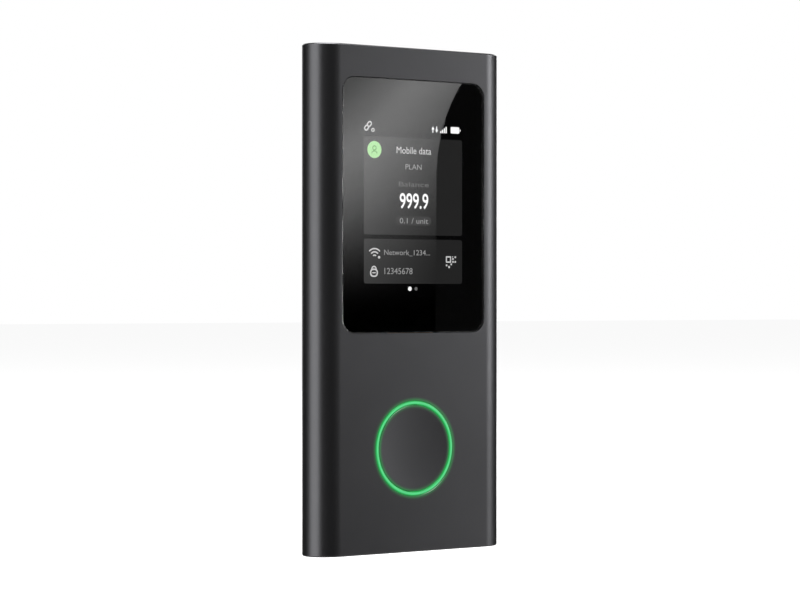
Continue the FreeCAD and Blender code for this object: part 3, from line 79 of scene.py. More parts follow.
sleeve_high = box_mm("sleeve")[1]
glass_low, glass_high = box_mm("cover_glass")
ring_low, ring_high = box_mm("light_ring")
button_low, button_high = box_mm("button_cap")

half_width = sleeve_high.x
half_depth = sleeve_high.y
body_height = sleeve_high.z
side_reach = 7.3
oval_share = 0.438
wall = 1.0
end_chamfer = 0.35
straight_half = half_width - side_reach
nose_radius = half_depth - (side_reach - half_depth) * oval_share
nose_centre = half_width - nose_radius
# The flank's arc starts level with the flat and ends where it meets the nose's arc.
step_in = nose_centre - straight_half
flank_radius = (
    step_in**2 + half_depth**2 - nose_radius**2
) / (2 * (half_depth - nose_radius))
flank_centre = flank_radius - half_depth
flank_turn = math.degrees(math.atan2(step_in, flank_centre))
nose_turn = 180 - 2 * flank_turn
print(f"sleeve side: flank radius {flank_radius:.2f} mm over {flank_turn:.1f} degrees, "
      f"nose radius {nose_radius:.2f} mm")

# %% [markdown]
# ## Drawing lines with bmesh
# Every section of this device is made of straight lines and arcs. A small pen is enough
# to draw them all: it starts at one vertex, and each move either extrudes that vertex
# straight to a point or spins it about a centre. The operators make the vertices, so a
# size that changes only changes a number.

# %% The pen
TURN_Z = Vector((0, 0, 1))
TURN_Y = Vector((0, 1, 0))
MERGE = 1e-4


def trace(bm, start, axis, moves):
    """Draws a line from start; a move is ("to", point) or ("turn", centre, degrees, steps)."""
    before_edges = set(bm.edges)
    before_verts = set(bm.verts)
    tip = bm.verts.new(start)
    for move in moves:
        if move[0] == "to":
            made = bmesh.ops.extrude_vert_indiv(bm, verts=[tip])
            tip = made["verts"][0]
            tip.co = Vector(move[1])
        else:
            made = bmesh.ops.spin(
                bm, geom=[tip], cent=Vector(move[1]), axis=axis,
                angle=math.radians(move[2]), steps=move[3], use_merge=False,
            )
            tip = [g for g in made["geom_last"] if isinstance(g, bmesh.types.BMVert)][0]
    drawn = [v for v in bm.verts if v not in before_verts]
    bmesh.ops.remove_doubles(bm, verts=drawn, dist=MERGE)
    return [e for e in bm.edges if e not in before_edges]


def rounded_box(bm, left, right, low, high, radius, level, steps=8):
    """A box with round corners, drawn facing the front at one depth."""
    far, near = right - radius, left + radius
    up, down = high - radius, low + radius
    return trace(bm, (near, level, low), -TURN_Y, [
        ("to", (far, level, low)),
        ("turn", (far, level, down), 90, steps),
        ("to", (right, level, up)),
        ("turn", (far, level, up), 90, steps),
        ("to", (near, level, high)),
        ("turn", (near, level, up), 90, steps),
        ("to", (left, level, down)),
        ("turn", (near, level, down), 90, steps),
    ])


def circle(bm, x, z, radius, level, segments):
    """A circle that faces the front."""
    place = Matrix.Translation((x, level, z)) @ Matrix.Rotation(math.radians(90), 4, "X")
    made = bmesh.ops.create_circle(bm, segments=segments, radius=radius, matrix=place)
    return list({e for v in made["verts"] for e in v.link_edges})


def lathe(bm, drawn, steps):
    """Turns a drawn section about the button's axis."""
    verts = list({v for e in drawn for v in e.verts})
    bmesh.ops.spin(
        bm, geom=verts + drawn, cent=(0, 0, ring_height), axis=TURN_Y,
        angle=math.radians(360), steps=steps, use_merge=True,
    )
    bmesh.ops.remove_doubles(bm, verts=bm.verts[:], dist=MERGE)


# %% [markdown]
# ## Finishing a piece
# A finished mesh is closed, faces outwards, is in metres, and sits at the origin. It
# rides on the body that carries it, takes the finish that it is given, and may stand for
# an engineering piece, which is then hidden. Smooth shading stops at edges sharper than 30
# degrees, and a Weighted Normal modifier keeps the large flats truly flat beside them.

# %% Finish a piece
SHARP = math.radians(30)


def finish_piece(bm, name, material, body, stands_for=(), weighted=True):
    """Turns a bmesh in millimetres into a finished piece of the device."""
    bmesh.ops.remove_doubles(bm, verts=bm.verts[:], dist=MERGE)
    bmesh.ops.recalc_face_normals(bm, faces=bm.faces[:])
    bmesh.ops.scale(bm, vec=(MM, MM, MM), verts=bm.verts[:])
    for face in bm.faces:
        face.smooth = True
    open_edges = [e for e in bm.edges if not e.is_manifold]
    mesh = bpy.data.meshes.new(name)
    bm.to_mesh(mesh)
    bm.free()
    mesh.set_sharp_from_angle(angle=SHARP)
    mesh.materials.append(material)
    piece = bpy.data.objects.new(name, mesh)
    bpy.context.scene.collection.objects.link(piece)
    if weighted:
        normals = piece.modifiers.new("flats", "WEIGHTED_NORMAL")
        normals.keep_sharp = True
    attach(piece, body)
    if stands_for:
        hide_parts(*stands_for)
    print(f"{name}: {len(mesh.polygons)} faces, {len(open_edges)} open edges")
    return piece


# %% [markdown]
# ## Colours and nodes
# Makers give colours as hex codes, which are sRGB, and Blender's shaders want linear
# values, so one function converts them. One more function adds a node with its settings
# and its links: a value is set on the input, and an output of another node is linked.

# %% Colour and node helpers
def linear(code):
    """An sRGB hex code as a linear colour."""
    parts = [int(code[i : i + 2], 16) / 255 for i in (1, 3, 5)]
    turned = [c / 12.92 if c <= 0.04045 else ((c + 0.055) / 1.055) ** 2.4 for c in parts]
    return (*turned, 1.0)


def add(material, kind, settings=None, **inputs):
    """Adds one node, with its settings, and its inputs as values or as links."""
    tree = material.node_tree
    node = tree.nodes.new(kind)
    for field, value in (settings or {}).items():
        setattr(node, field, value)
    for label, value in inputs.items():
        place = int(label[1:]) if label[0] == "i" and label[1:].isdigit() else None
        socket = node.inputs[place] if place is not None else node.inputs[label.replace("_", " ")]
        if isinstance(value, bpy.types.NodeSocket):
            tree.links.new(value, socket)
        else:
            socket.default_value = value
    return node


def new_material(name):
    """An empty material with its output node."""
    material = bpy.data.materials.new(name)
    material.use_nodes = True
    material.node_tree.nodes.clear()
    material.node_tree.nodes.new("ShaderNodeOutputMaterial")
    return material


def shade(material, **inputs):
    """Ends a material in a Principled shader with these inputs."""
    shader = add(material, "ShaderNodeBsdfPrincipled", **inputs)
    output = material.node_tree.nodes["Material Output"]
    material.node_tree.links.new(shader.outputs["BSDF"], output.inputs["Surface"])
    return shader


def grain(material, size_mm, detail=2.0, stretch=(1, 1, 1)):
    """Noise with features of about size_mm, on the piece's own coordinates."""
    where = add(material, "ShaderNodeTexCoord")
    turned = add(material, "ShaderNodeMapping", Vector=where.outputs["Object"], Scale=stretch)
    return add(
        material, "ShaderNodeTexNoise", Vector=turned.outputs["Vector"],
        Scale=1 / (size_mm * MM), Detail=detail,
    ).outputs["Fac"]


def between(material, fac, low, high):
    """Spreads a value from 0 to 1 over the range from low to high."""
    return add(
        material, "ShaderNodeMapRange", Value=fac, To_Min=low, To_Max=high,
    ).outputs["Result"]


def two_colours(material, fac, dark, light):
    """Mixes two hex colours by a value."""
    mix = add(material, "ShaderNodeMix", {"data_type": "RGBA"}, i0=fac)
    mix.inputs[6].default_value = linear(dark)
    mix.inputs[7].default_value = linear(light)
    return mix.outputs[2]


def relief(material, height, depth_mm, strength=1.0):
    """Bump from a height value that stands depth_mm high."""
    return add(
        material, "ShaderNodeBump", Height=height, Distance=depth_mm * MM, Strength=strength,
    ).outputs["Normal"]


# %% [markdown]
# ## Anodised aluminium
# The sleeve and the button are 6063 aluminium: extruded or turned, blasted with fine
# glass beads, and anodised dark grey. The dyed oxide is only some hundredths of a
# millimetre thick, so the metal still gives the reflection, which the blasting spreads
# out: metallic, dark, and fairly rough. Beads leave pits of about 0.1 mm, finer than one
# dot of a picture of the whole device, so they are drawn 0.3 mm wide and very shallow.
# Beside the light ring the metal is given a painted green glow: an emission that stands in
# for the ring's stray light on the blasted surface and falls away within a millimetre or two.
# That is worked out from the distance to the ring's own circle, and only the front of the device gets it.

# %% Anodised aluminium
ring_height = (ring_low.z + ring_high.z) / 2
ring_outer = 13.05
ring_inner = 12.05
ring_middle = (ring_outer + ring_inner) / 2


def from_ring(material):
    """The distance in millimetres from the middle of the light ring's bead."""
    where = add(material, "ShaderNodeTexCoord")
    split = add(material, "ShaderNodeSeparateXYZ", Vector=where.outputs["Object"])
    up = add(material, "ShaderNodeMath", {"operation": "SUBTRACT"},
             i0=split.outputs["Z"], i1=ring_height * MM)
    flat = add(material, "ShaderNodeCombineXYZ", X=split.outputs["X"], Y=up.outputs[0])
    reach = add(material, "ShaderNodeVectorMath", {"operation": "LENGTH"},
                i0=flat.outputs["Vector"])
    off = add(material, "ShaderNodeMath", {"operation": "SUBTRACT"},
              i0=reach.outputs["Value"], i1=ring_middle * MM)
    size = add(material, "ShaderNodeMath", {"operation": "ABSOLUTE"}, i0=off.outputs[0])
    return add(material, "ShaderNodeMath", {"operation": "DIVIDE"},
               i0=size.outputs[0], i1=MM).outputs[0]


blasted_grain_mm, cloud_mm = 0.3, 18.0
# The painted green glow beside the ring: emission that falls from its level to nothing between these
# distances.
painted_glow_start, painted_glow_end, painted_glow_level = 0.4, 1.8, 0.21
anodised = new_material("anodised_aluminium_grey")
pits = grain(anodised, blasted_grain_mm)
cloud = grain(anodised, cloud_mm, detail=3.0)
painted_glow_falloff = add(
    anodised, "ShaderNodeMapRange", {"interpolation_type": "SMOOTHERSTEP"},
    Value=from_ring(anodised), From_Min=painted_glow_start, From_Max=painted_glow_end,
    To_Min=painted_glow_level, To_Max=0.0,
).outputs["Result"]
depth_place = add(anodised, "ShaderNodeTexCoord")
depth_split = add(anodised, "ShaderNodeSeparateXYZ", Vector=depth_place.outputs["Object"])
at_front = add(anodised, "ShaderNodeMath", {"operation": "LESS_THAN"},
               i0=depth_split.outputs["Y"], i1=-half_depth / 2 * MM)
# Painted glow: only the front of the device is given the ring's painted green emission.
painted_ring_glow = add(anodised, "ShaderNodeMath", {"operation": "MULTIPLY"},
            i0=painted_glow_falloff, i1=at_front.outputs[0]).outputs[0]
shade(
    anodised, Metallic=1.0,
    Base_Color=two_colours(anodised, cloud, "#565658", "#5d5d5f"),
    Roughness=between(anodised, pits, 0.36, 0.42),
    Normal=relief(anodised, pits, 0.004),
    Emission_Color=linear("#12d860"), Emission_Strength=painted_ring_glow,
)
print("made", anodised.name)

# %% [markdown]
# ## Moulded plastics
# The end caps and the card tray's face are black PC/ABS, moulded in a spark-eroded tool
# that leaves an even, matt texture of about 0.15 mm. The carriers inside are nylon with
# glass fibre, a little lighter and streaked along the flow. The button's hub, the switch
# and the socket's base are smooth black acetal and LCP. All are plain dielectrics, so
# only colour, roughness and relief differ between them.

# %% Moulded plastics
def moulded(name, dark, light, size_mm, rough, depth_mm, stretch=(1, 1, 1)):
    """A moulded plastic: two close colours, a texture of one size, and its relief."""
    material = new_material(name)
    texture = grain(material, size_mm, stretch=stretch)
    shade(
        material, Base_Color=two_colours(material, texture, dark, light),
        Roughness=between(material, texture, rough - 0.05, rough + 0.05),
        Normal=relief(material, texture, depth_mm), IOR=1.53,
    )
    return material


cap_abs = moulded("cap_abs_black", "#19191a", "#202022", 0.15, 0.52, 0.008)
carrier_nylon = moulded("carrier_glass_nylon", "#2a2b2e", "#37383c", 0.6, 0.48, 0.01,
                        stretch=(1, 1, 0.15))
hub_acetal = moulded("hub_acetal_black", "#161618", "#1d1d20", 0.4, 0.38, 0.003)
connector_nylon = moulded("connector_nylon_cream", "#cfc8b6", "#ddd7c6", 0.5, 0.42, 0.003)
tape_foam = moulded("tape_foam_black", "#121212", "#1d1d1d", 0.2, 0.8, 0.03)
pad_silicone = moulded("thermal_pad_silicone", "#64839f", "#7391ab", 0.3, 0.7, 0.01)
frame_resin = moulded("backlight_frame_white", "#dedfd9", "#ecece7", 0.8, 0.45, 0.003)
chip_epoxy = moulded("chip_epoxy_black", "#131415", "#1b1c1e", 0.08, 0.6, 0.004)
diode_resin = moulded("diode_resin_white", "#dcebb4", "#f2fbdc", 0.2, 0.35, 0.002)

# %% [markdown]
# ## Metals inside
# The shields, the socket's shell and the ejector are rolled stainless sheet, brushed one
# way by the rolls. The springs and antennas are phosphor bronze with a gold flash, the
# heat spreader is milled aluminium, and the screws are steel with black zinc. Each is a
# metal with its own colour, and the fine lines are noise drawn out along one direction.

# %% Metals inside
def metal(name, dark, light, size_mm, rough, depth_mm, stretch):
    """A metal with lines drawn out along one direction."""
    material = new_material(name)
    lines = grain(material, size_mm, detail=3.0, stretch=stretch)
    shade(
        material, Metallic=1.0, Base_Color=two_colours(material, lines, dark, light),
        Roughness=between(material, lines, rough - 0.06, rough + 0.06),
        Normal=relief(material, lines, depth_mm),
    )
    return material


ALONG_X, ALONG_Z = (0.05, 1, 1), (1, 1, 0.05)
shield_steel = metal("shield_steel_rolled", "#9fa2a4", "#b4b7b9", 0.15, 0.3, 0.002, ALONG_Z)
screw_steel = metal("screw_steel_black_zinc", "#34353a", "#4c4d52", 0.3, 0.36, 0.002, (1, 1, 1))
spring_bronze = metal("spring_bronze_gold_flash", "#bd9248", "#d3a95c", 0.2, 0.28, 0.001, ALONG_X)
spreader_aluminium = metal("spreader_aluminium_milled", "#b0b2b4", "#c3c5c7", 0.4, 0.34, 0.004,
                           ALONG_X)
cell_foil = metal("cell_foil_matt_silver", "#a9acb0", "#bfc2c6", 1.6, 0.5, 0.03, (1, 1, 0.4))

# %% [markdown]
# ## Circuit boards and flat leads
# A board is glass laminate under green solder mask. Copper tracks lie below the mask as
# slightly lighter, raised bands, 0.3 mm wide and as far apart. The tracks are a band pattern whose lines are
# bent by noise, and the mask is thin and glossy over them. A flat lead has the same
# bands, straight, below clear amber polyimide film.

# %% Circuit boards and flat leads
def tracks(name, dark, light, pitch_mm, bend, rough, direction):
    """Copper bands below a clear or coloured film."""
    material = new_material(name)
    where = add(material, "ShaderNodeTexCoord")
    bands = add(
        material, "ShaderNodeTexWave", {"bands_direction": direction},
        Vector=where.outputs["Object"], Scale=math.pi / 10 / (pitch_mm * MM),
        Distortion=bend, Detail=1.0, Detail_Scale=0.6,
    ).outputs["Fac"]
    edges = add(
        material, "ShaderNodeMapRange", Value=bands, From_Min=0.42, From_Max=0.58,
    ).outputs["Result"]
    shade(
        material, Base_Color=two_colours(material, edges, dark, light),
        Roughness=between(material, edges, rough + 0.06, rough),
        Normal=relief(material, edges, 0.02), IOR=1.55, Coat_Weight=0.4, Coat_Roughness=0.1,
    )
    return material


board_mask = tracks("board_solder_mask_green", "#0d3a26", "#1a6040", 0.6, 3.0, 0.3, "DIAGONAL")
lead_film = tracks("lead_polyimide_amber", "#9a561a", "#c88434", 0.5, 0.0, 0.28, "X")

# %% [markdown]
# ## Glass, ink and display
# The cover is a 0.8 mm sheet of aluminosilicate glass with a softened front edge. Black
# ink on its back hides the tape, and the display's polariser shows through the opening.
# The glass is a real solid with the index of such glass, 1.51, so that the picture lies
# below its surface and the room is mirrored in it, as it is on a real device.

# %% Glass, ink and display
cover_glass = new_material("cover_glass_aluminosilicate")
shade(
    cover_glass, Base_Color=(1, 1, 1, 1), Transmission_Weight=1.0, IOR=1.51,
    Roughness=between(cover_glass, grain(cover_glass, 12.0), 0.0, 0.004),
)
border_ink = new_material("border_ink_black")
shade(
    border_ink, Base_Color=two_colours(border_ink, grain(border_ink, 0.6), "#020202", "#040405"),
    Roughness=0.6, Specular_IOR_Level=0.0,
)
polariser = new_material("display_polariser_dark")
film = grain(polariser, 6.0)
shade(
    polariser, Base_Color=two_colours(polariser, film, "#030304", "#060607"),
    Roughness=between(polariser, film, 0.3, 0.36), Specular_IOR_Level=0.0,
)

# %% [markdown]
# ## Lit picture
# The picture on the display is its own light. Each tone is one material: an emission
# colour with the faint lines of the display's own rows. Real rows are 0.15 mm apart, finer
# than a render of the whole device can show, so they are drawn at 0.3 mm and with little
# contrast. The base below is matt and a tenth of the tone, so room light adds little.

# %% Lit picture
ROW_PITCH, ROW_CONTRAST = 0.3, 0.03
GRADE_LEFT, GRADE_RIGHT = -17, 8
BASE_SHARE = 0.1


def lit(name, code, level=1.0, left=None):
    """A tone of the lit picture; one that is given a left colour is graded towards it."""
    material = new_material(name)
    where = add(material, "ShaderNodeTexCoord")
    colour = linear(code)
    if left:
        place = add(material, "ShaderNodeSeparateXYZ", Vector=where.outputs["Object"])
        across = add(material, "ShaderNodeMapRange", Value=place.outputs["X"],
                     From_Min=GRADE_LEFT * MM, From_Max=GRADE_RIGHT * MM)
        colour = two_colours(material, across.outputs["Result"], left, code)
    rows = add(
        material, "ShaderNodeTexWave", {"bands_direction": "Z"},
        Vector=where.outputs["Object"], Scale=math.pi / 10 / (ROW_PITCH * MM),
    ).outputs["Fac"]
    shade(
        material, Base_Color=[BASE_SHARE * c for c in linear(code)[:3]] + [1.0],
        Roughness=0.9, Specular_IOR_Level=0.0,
        Emission_Color=colour,
        Emission_Strength=between(
            material, rows, (1 - ROW_CONTRAST) * level, (1 + ROW_CONTRAST) * level
        ),
    )
    return material


tone_white = lit("picture_white", "#ffffff", 1.05)
tone_light = lit("picture_light_grey", "#cfcfcf")
tone_mid = lit("picture_mid_grey", "#9a9a9a")
tone_dim = lit("picture_dim_grey", "#6a6a6a")
tone_card = lit("picture_card_grey", "#232323", left="#3d3d3d")
tone_pill = lit("picture_pill_grey", "#3c3c3c")
tone_badge = lit("picture_badge_green", "#abdf9c")
tone_leaf = lit("picture_leaf_green", "#69ad5a")

# %% [markdown]
# ## Light ring
# The ring is a clear polycarbonate light guide, lit from behind by twelve green diodes.
# The bead glows brightest along its middle and deeper green at its edges, where the
# light comes out at a slant. The twelve diodes are only just visible as a slow change of
# brightness round the ring.

# %% Light ring material
diodes = 12
core_start, core_end = 0.08, 0.48
light_guide = new_material("light_guide_polycarbonate")
across = add(
    light_guide, "ShaderNodeMapRange", {"interpolation_type": "SMOOTHSTEP"},
    Value=from_ring(light_guide), From_Min=core_start, From_Max=core_end, To_Min=1.0, To_Max=0.0,
).outputs["Result"]
where = add(light_guide, "ShaderNodeTexCoord")
split = add(light_guide, "ShaderNodeSeparateXYZ", Vector=where.outputs["Object"])
up = add(light_guide, "ShaderNodeMath", {"operation": "SUBTRACT"},
         i0=split.outputs["Z"], i1=ring_height * MM)
angle = add(light_guide, "ShaderNodeMath", {"operation": "ARCTAN2"},
            i0=up.outputs[0], i1=split.outputs["X"])
times = add(light_guide, "ShaderNodeMath", {"operation": "MULTIPLY"},
            i0=angle.outputs[0], i1=diodes)
beat = add(light_guide, "ShaderNodeMath", {"operation": "COSINE"}, i0=times.outputs[0])
glow = add(light_guide, "ShaderNodeMath", {"operation": "MULTIPLY_ADD"},
           i0=beat.outputs[0], i1=0.03, i2=0.97)
shade(
    light_guide, Base_Color=linear("#0f5a2a"), Roughness=0.3, IOR=1.58,
    Emission_Color=two_colours(light_guide, across, "#17a046", "#57d387"),
    Emission_Strength=glow.outputs[0],
)

# %% [markdown]
# ## Finishes for the engineering pieces
# The inside of the device keeps its engineering shapes, which are the real ones. Each
# piece takes the finish that the parts list gives it by the name of its slot.

# %% Give every engineering piece its finish
finish_of_slot = {
    "anodised_aluminium": anodised,
    "cap_plastic": cap_abs,
    "screw_steel": screw_steel,
    "cover_glass": cover_glass,
    "adhesive": tape_foam,
    "display_panel": polariser,
    "backlight": frame_resin,
    "flex": lead_film,
    "connector": connector_nylon,
    "light_guide": light_guide,
    "hub_plastic": hub_acetal,
    "board": board_mask,
    "diode": diode_resin,
    "steel": shield_steel,
    "carrier_plastic": carrier_nylon,
    "antenna_copper": spring_bronze,
    "cell_wrap": cell_foil,
    "chip": chip_epoxy,
    "thermal": pad_silicone,
    "bare_aluminium": spreader_aluminium,
}
for entry in frame["record"]["subparts"]:
    node = frame["nodes"][entry["node"]]
    node.data.materials.clear()
    node.data.materials.append(finish_of_slot[entry["material_slot"]])

# %% [markdown]
# ## The sleeve
# The sleeve is an aluminium extrusion, cut to length. Its section is two flats joined by
# sides of three arcs each, so the same section is drawn at each level, a little inside
# the outline where the two rims are chamfered, and the levels are bridged into walls. The
# window and the ring's hole are milled later: their flat is taken out and filled again
# round the openings, which keeps every wall clean without a boolean.

# %% The sleeve's tube
SLEEVE_FLANK_STEPS, SLEEVE_NOSE_STEPS = 10, 34


def section(bm, inset, level):
    """The sleeve's outline, moved in by inset, at one height."""
    depth = half_depth - inset
    flank = ("turn", (straight_half, flank_centre, level), flank_turn, SLEEVE_FLANK_STEPS)
    nose = ("turn", (nose_centre, 0, level), nose_turn, SLEEVE_NOSE_STEPS)
    back = ("turn", (straight_half, -flank_centre, level), flank_turn, SLEEVE_FLANK_STEPS)
    back_left = ("turn", (-straight_half, -flank_centre, level), flank_turn, SLEEVE_FLANK_STEPS)
    nose_left = ("turn", (-nose_centre, 0, level), nose_turn, SLEEVE_NOSE_STEPS)
    flank_left = ("turn", (-straight_half, flank_centre, level), flank_turn, SLEEVE_FLANK_STEPS)
    return trace(bm, (straight_half, -depth, level), TURN_Z, [
        flank, nose, back, ("to", (-straight_half, depth, level)),
        back_left, nose_left, flank_left, ("to", (straight_half, -depth, level)),
    ])


sleeve = bmesh.new()
levels = [
    section(sleeve, inset, level)
    for inset, level in (
        (end_chamfer, 0), (0, end_chamfer),
        (0, body_height - end_chamfer), (end_chamfer, body_height),
        (wall, body_height), (wall, 0),
    )
]
for first, second in zip(levels, levels[1:] + levels[:1]):
    bmesh.ops.bridge_loops(sleeve, edges=first + second)
print("sleeve tube:", len(sleeve.faces), "faces")

# %% [markdown]
# The window is a pocket for the glass with a gap of 0.12 mm all round, and the ring's
# hole has its front edge broken so that it isn't sharp to the finger.

# %% The window and the ring's hole
glass_gap = 0.12
glass_corner = 4.0
hole_radius = ring_outer + 0.03
hole_break = 0.2
HOLE_SEGMENTS = 128
LARGE_FACE = 1000


def flat_at(bm, level):
    """The one large face of a flat, found by its depth and its middle."""
    return [
        f for f in bm.faces
        if abs(f.calc_center_median().y - level) < MERGE and f.calc_area() > LARGE_FACE
    ][0]


def open_flat(bm, level, hole):
    """Takes a flat out, and fills it again round the window and the ring's hole."""
    flat = flat_at(bm, level)
    border = list(flat.edges)
    bmesh.ops.delete(bm, geom=[flat], context="FACES_ONLY")
    window = rounded_box(
        bm, glass_low.x - glass_gap, glass_high.x + glass_gap,
        glass_low.z - glass_gap, glass_high.z + glass_gap, glass_corner + glass_gap, level,
    )
    round_hole = circle(bm, 0, ring_height, hole, level, HOLE_SEGMENTS)
    bmesh.ops.triangle_fill(
        bm, use_beauty=True, edges=border + window + round_hole, normal=(0, -1, 0)
    )
    return window, round_hole


front = -half_depth
inner_front = front + wall
front_window, front_hole = open_flat(sleeve, front, hole_radius + hole_break)
inner_window, inner_hole = open_flat(sleeve, inner_front, hole_radius)
bmesh.ops.bridge_loops(sleeve, edges=front_window + inner_window)
broken = circle(sleeve, 0, ring_height, hole_radius, front + hole_break, HOLE_SEGMENTS)
bmesh.ops.bridge_loops(sleeve, edges=front_hole + broken)
bmesh.ops.bridge_loops(sleeve, edges=broken + inner_hole)
finish_piece(sleeve, "sleeve_shell", anodised, "housing", ["sleeve"])

# %% [markdown]
# ## The cover glass
# The glass is one sheet, cut to a box with round corners and ground along its front edge.
# Its back stops a few hundredths of a millimetre short of the display, where the ink and
# the picture lie.

# %% The cover glass
picture_room = 0.06
glass_edge = 0.15
glass_back = glass_high.y - picture_room
glass = bmesh.new()
outline = rounded_box(
    glass, glass_low.x, glass_high.x, glass_low.z, glass_high.z, glass_corner, glass_back,
    steps=16,
)
sheet = bmesh.ops.contextual_create(glass, geom=outline)["faces"]
pushed = bmesh.ops.extrude_face_region(glass, geom=sheet)["geom"]
front_verts = [g for g in pushed if isinstance(g, bmesh.types.BMVert)]
bmesh.ops.translate(glass, verts=front_verts, vec=(0, glass_low.y - glass_back, 0))
rim = [e for e in glass.edges if all(abs(v.co.y - glass_low.y) < MERGE for v in e.verts)]
bmesh.ops.bevel(
    glass, geom=rim, offset=glass_edge, segments=4, profile=0.5, affect="EDGES", material=-1
)
finish_piece(glass, "cover_glass_sheet", cover_glass, "housing", ["cover_glass"])

# %% [markdown]
# ## Flat shapes behind the glass
# The ink and the picture are made of flat shapes only a hundredth of a millimetre thick.
# Any set of closed lines can be filled, lines inside lines leaving holes, and then given
# that thickness, so one helper makes the ink frame, the cards, the icons and the dots.

# %% Flat shapes
SHEET = 0.008
sheet_ink = glass_back + 0.012
sheet_mark = glass_back + 0.03
sheet_pill = glass_back + 0.038
sheet_card = glass_back + 0.046


def fill(bm, drawn):
    """Fills closed lines and gives the faces their thickness."""
    made = bmesh.ops.triangle_fill(bm, use_beauty=True, edges=drawn, normal=(0, -1, 0))
    faces = [g for g in made["geom"] if isinstance(g, bmesh.types.BMFace)]
    pushed = bmesh.ops.extrude_face_region(bm, geom=faces)["geom"]
    moved = [g for g in pushed if isinstance(g, bmesh.types.BMVert)]
    bmesh.ops.translate(bm, verts=moved, vec=(0, SHEET, 0))


# %% [markdown]
# The ink leaves an opening of 36.7 by 49.0 mm, the lit area of a 2.4 inch display.

# %% Ink behind the glass
lit_half_width = 18.36
lit_low, lit_high = 70.3, 119.26
ink_margin = 0.35
ink = bmesh.new()
fill(ink, rounded_box(
    ink, glass_low.x + ink_margin, glass_high.x - ink_margin,
    glass_low.z + ink_margin, glass_high.z - ink_margin, glass_corner - ink_margin, sheet_ink,
) + rounded_box(ink, -lit_half_width, lit_half_width, lit_low, lit_high, 0.4, sheet_ink))
finish_piece(ink, "glass_border_ink", border_ink, "housing", weighted=False)

# %% [markdown]
# ## The picture on the display
# The screen shows a plain status page: two cards, a round badge, a large number, a lock
# and a wireless mark, rising signal bars and a battery, and two page dots. The words are
# everyday ones, and the numbers are only samples. Cards and pills are flat boxes.

# %% Cards and pill
cards = bmesh.new()
fill(cards, rounded_box(cards, -16.75, 16.75, 87.4, 114.2, 0.7, sheet_card))
fill(cards, rounded_box(cards, -16.75, 16.75, 74.0, 86.25, 0.7, sheet_card))
finish_piece(cards, "picture_cards", tone_card, "housing", weighted=False)
pill = bmesh.new()
fill(pill, rounded_box(pill, -6.2, 6.0, 90.1, 92.6, 1.2, sheet_pill))
finish_piece(pill, "picture_pill", tone_pill, "housing", weighted=False)

# %% [markdown]
# Words and numbers start as text curves. Each is made a mesh first, and only then is it
# stood up, sized to its place on the page and moved there, so that the finished object
# itself stays at the origin.

# %% Words and numbers
STAND_UP = Matrix.Rotation(math.radians(90), 4, "X")


def words(name, text, left, right, low, high, material, weight=0.0):
    """One line of text, sized to the box that it fills."""
    curve = bpy.data.curves.new(name + "_line", "FONT")
    curve.body = text
    curve.offset = weight
    curve.extrude = 0.01
    curve.resolution_u = 4
    line = bpy.data.objects.new(name + "_line", curve)
    bpy.context.scene.collection.objects.link(line)
    bpy.context.view_layer.update()
    shaped = line.evaluated_get(bpy.context.evaluated_depsgraph_get())
    mesh = bpy.data.meshes.new_from_object(shaped)
    bpy.data.objects.remove(line)
    bm = bmesh.new()
    bm.from_mesh(mesh)
    bpy.data.meshes.remove(mesh)
    xs = [v.co.x for v in bm.verts]
    ys = [v.co.y for v in bm.verts]
    zs = [v.co.z for v in bm.verts]
    stretch = Vector((
        (right - left) / (max(xs) - min(xs)), (high - low) / (max(ys) - min(ys)),
        SHEET / (max(zs) - min(zs)),
    ))
    bmesh.ops.translate(bm, verts=bm.verts[:], vec=(-min(xs), -min(ys), -max(zs)))
    bmesh.ops.scale(bm, verts=bm.verts[:], vec=stretch)
    bmesh.ops.transform(bm, matrix=STAND_UP, verts=bm.verts[:])
    bmesh.ops.translate(bm, verts=bm.verts[:], vec=(left, sheet_mark, low))
    finish_piece(bm, name, material, "housing", weighted=False)


words("picture_title", "Mobile data", -5.8, 6.0, 109.8, 111.7, tone_light)
words("picture_plan", "PLAN", -2.8, 2.7, 105.5, 106.95, tone_mid)
words("picture_balance", "Balance", -5.0, 5.2, 100.75, 102.1, tone_dim)
words("picture_number", "999.9", -4.75, 5.0, 94.65, 98.96, tone_white, weight=0.012)
words("picture_rate", "0.1 / unit", -4.75, 4.95, 90.6, 92.1, tone_mid)
words("picture_network", "Network_1234...", -10.0, 5.6, 81.6, 83.3, tone_mid)
words("picture_code", "12345678", -9.9, -0.4, 76.6, 78.3, tone_mid)

# %% [markdown]
# The icons are lines of even weight, as on any status page. A ring is two circles, a
# slanted one is drawn upright and then turned about its own middle.

# %% Icons
def turned(bm, before, degrees, x, z):
    """Turns what was drawn since before about a point of the page."""
    new = [v for v in bm.verts if v not in before]
    bmesh.ops.rotate(
        bm, verts=new, cent=(x, 0, z), matrix=Matrix.Rotation(math.radians(degrees), 3, "Y")
    )


def fan(bm, x, z, inner, outer, half_turn, steps=10):
    """A slice of a ring that opens upwards, for the wireless mark."""
    start = Vector((x, sheet_mark, z))
    lean = Matrix.Rotation(math.radians(half_turn), 3, "Y")
    first = start + lean @ Vector((0, 0, outer))
    second = start + lean.inverted() @ Vector((0, 0, inner))
    return trace(bm, first, -TURN_Y, [
        ("turn", start, 2 * half_turn, steps), ("to", second),
        ("turn", start, -2 * half_turn, steps), ("to", first),
    ])


icons = bmesh.new()
# A pair of chain links, slanted, with a small ring beside them.
kept = set(icons.verts)
for left, right in ((-17.0, -15.2), (-15.6, -13.8)):
    fill(icons, rounded_box(icons, left, right, 116.3, 117.7, 0.68, sheet_mark)
         + rounded_box(icons, left + 0.36, right - 0.36, 116.66, 117.34, 0.32, sheet_mark))
turned(icons, kept, -48, -15.4, 117.0)
fill(icons, circle(icons, -13.75, 115.95, 0.55, sheet_mark, 20)
     + circle(icons, -13.75, 115.95, 0.25, sheet_mark, 20))
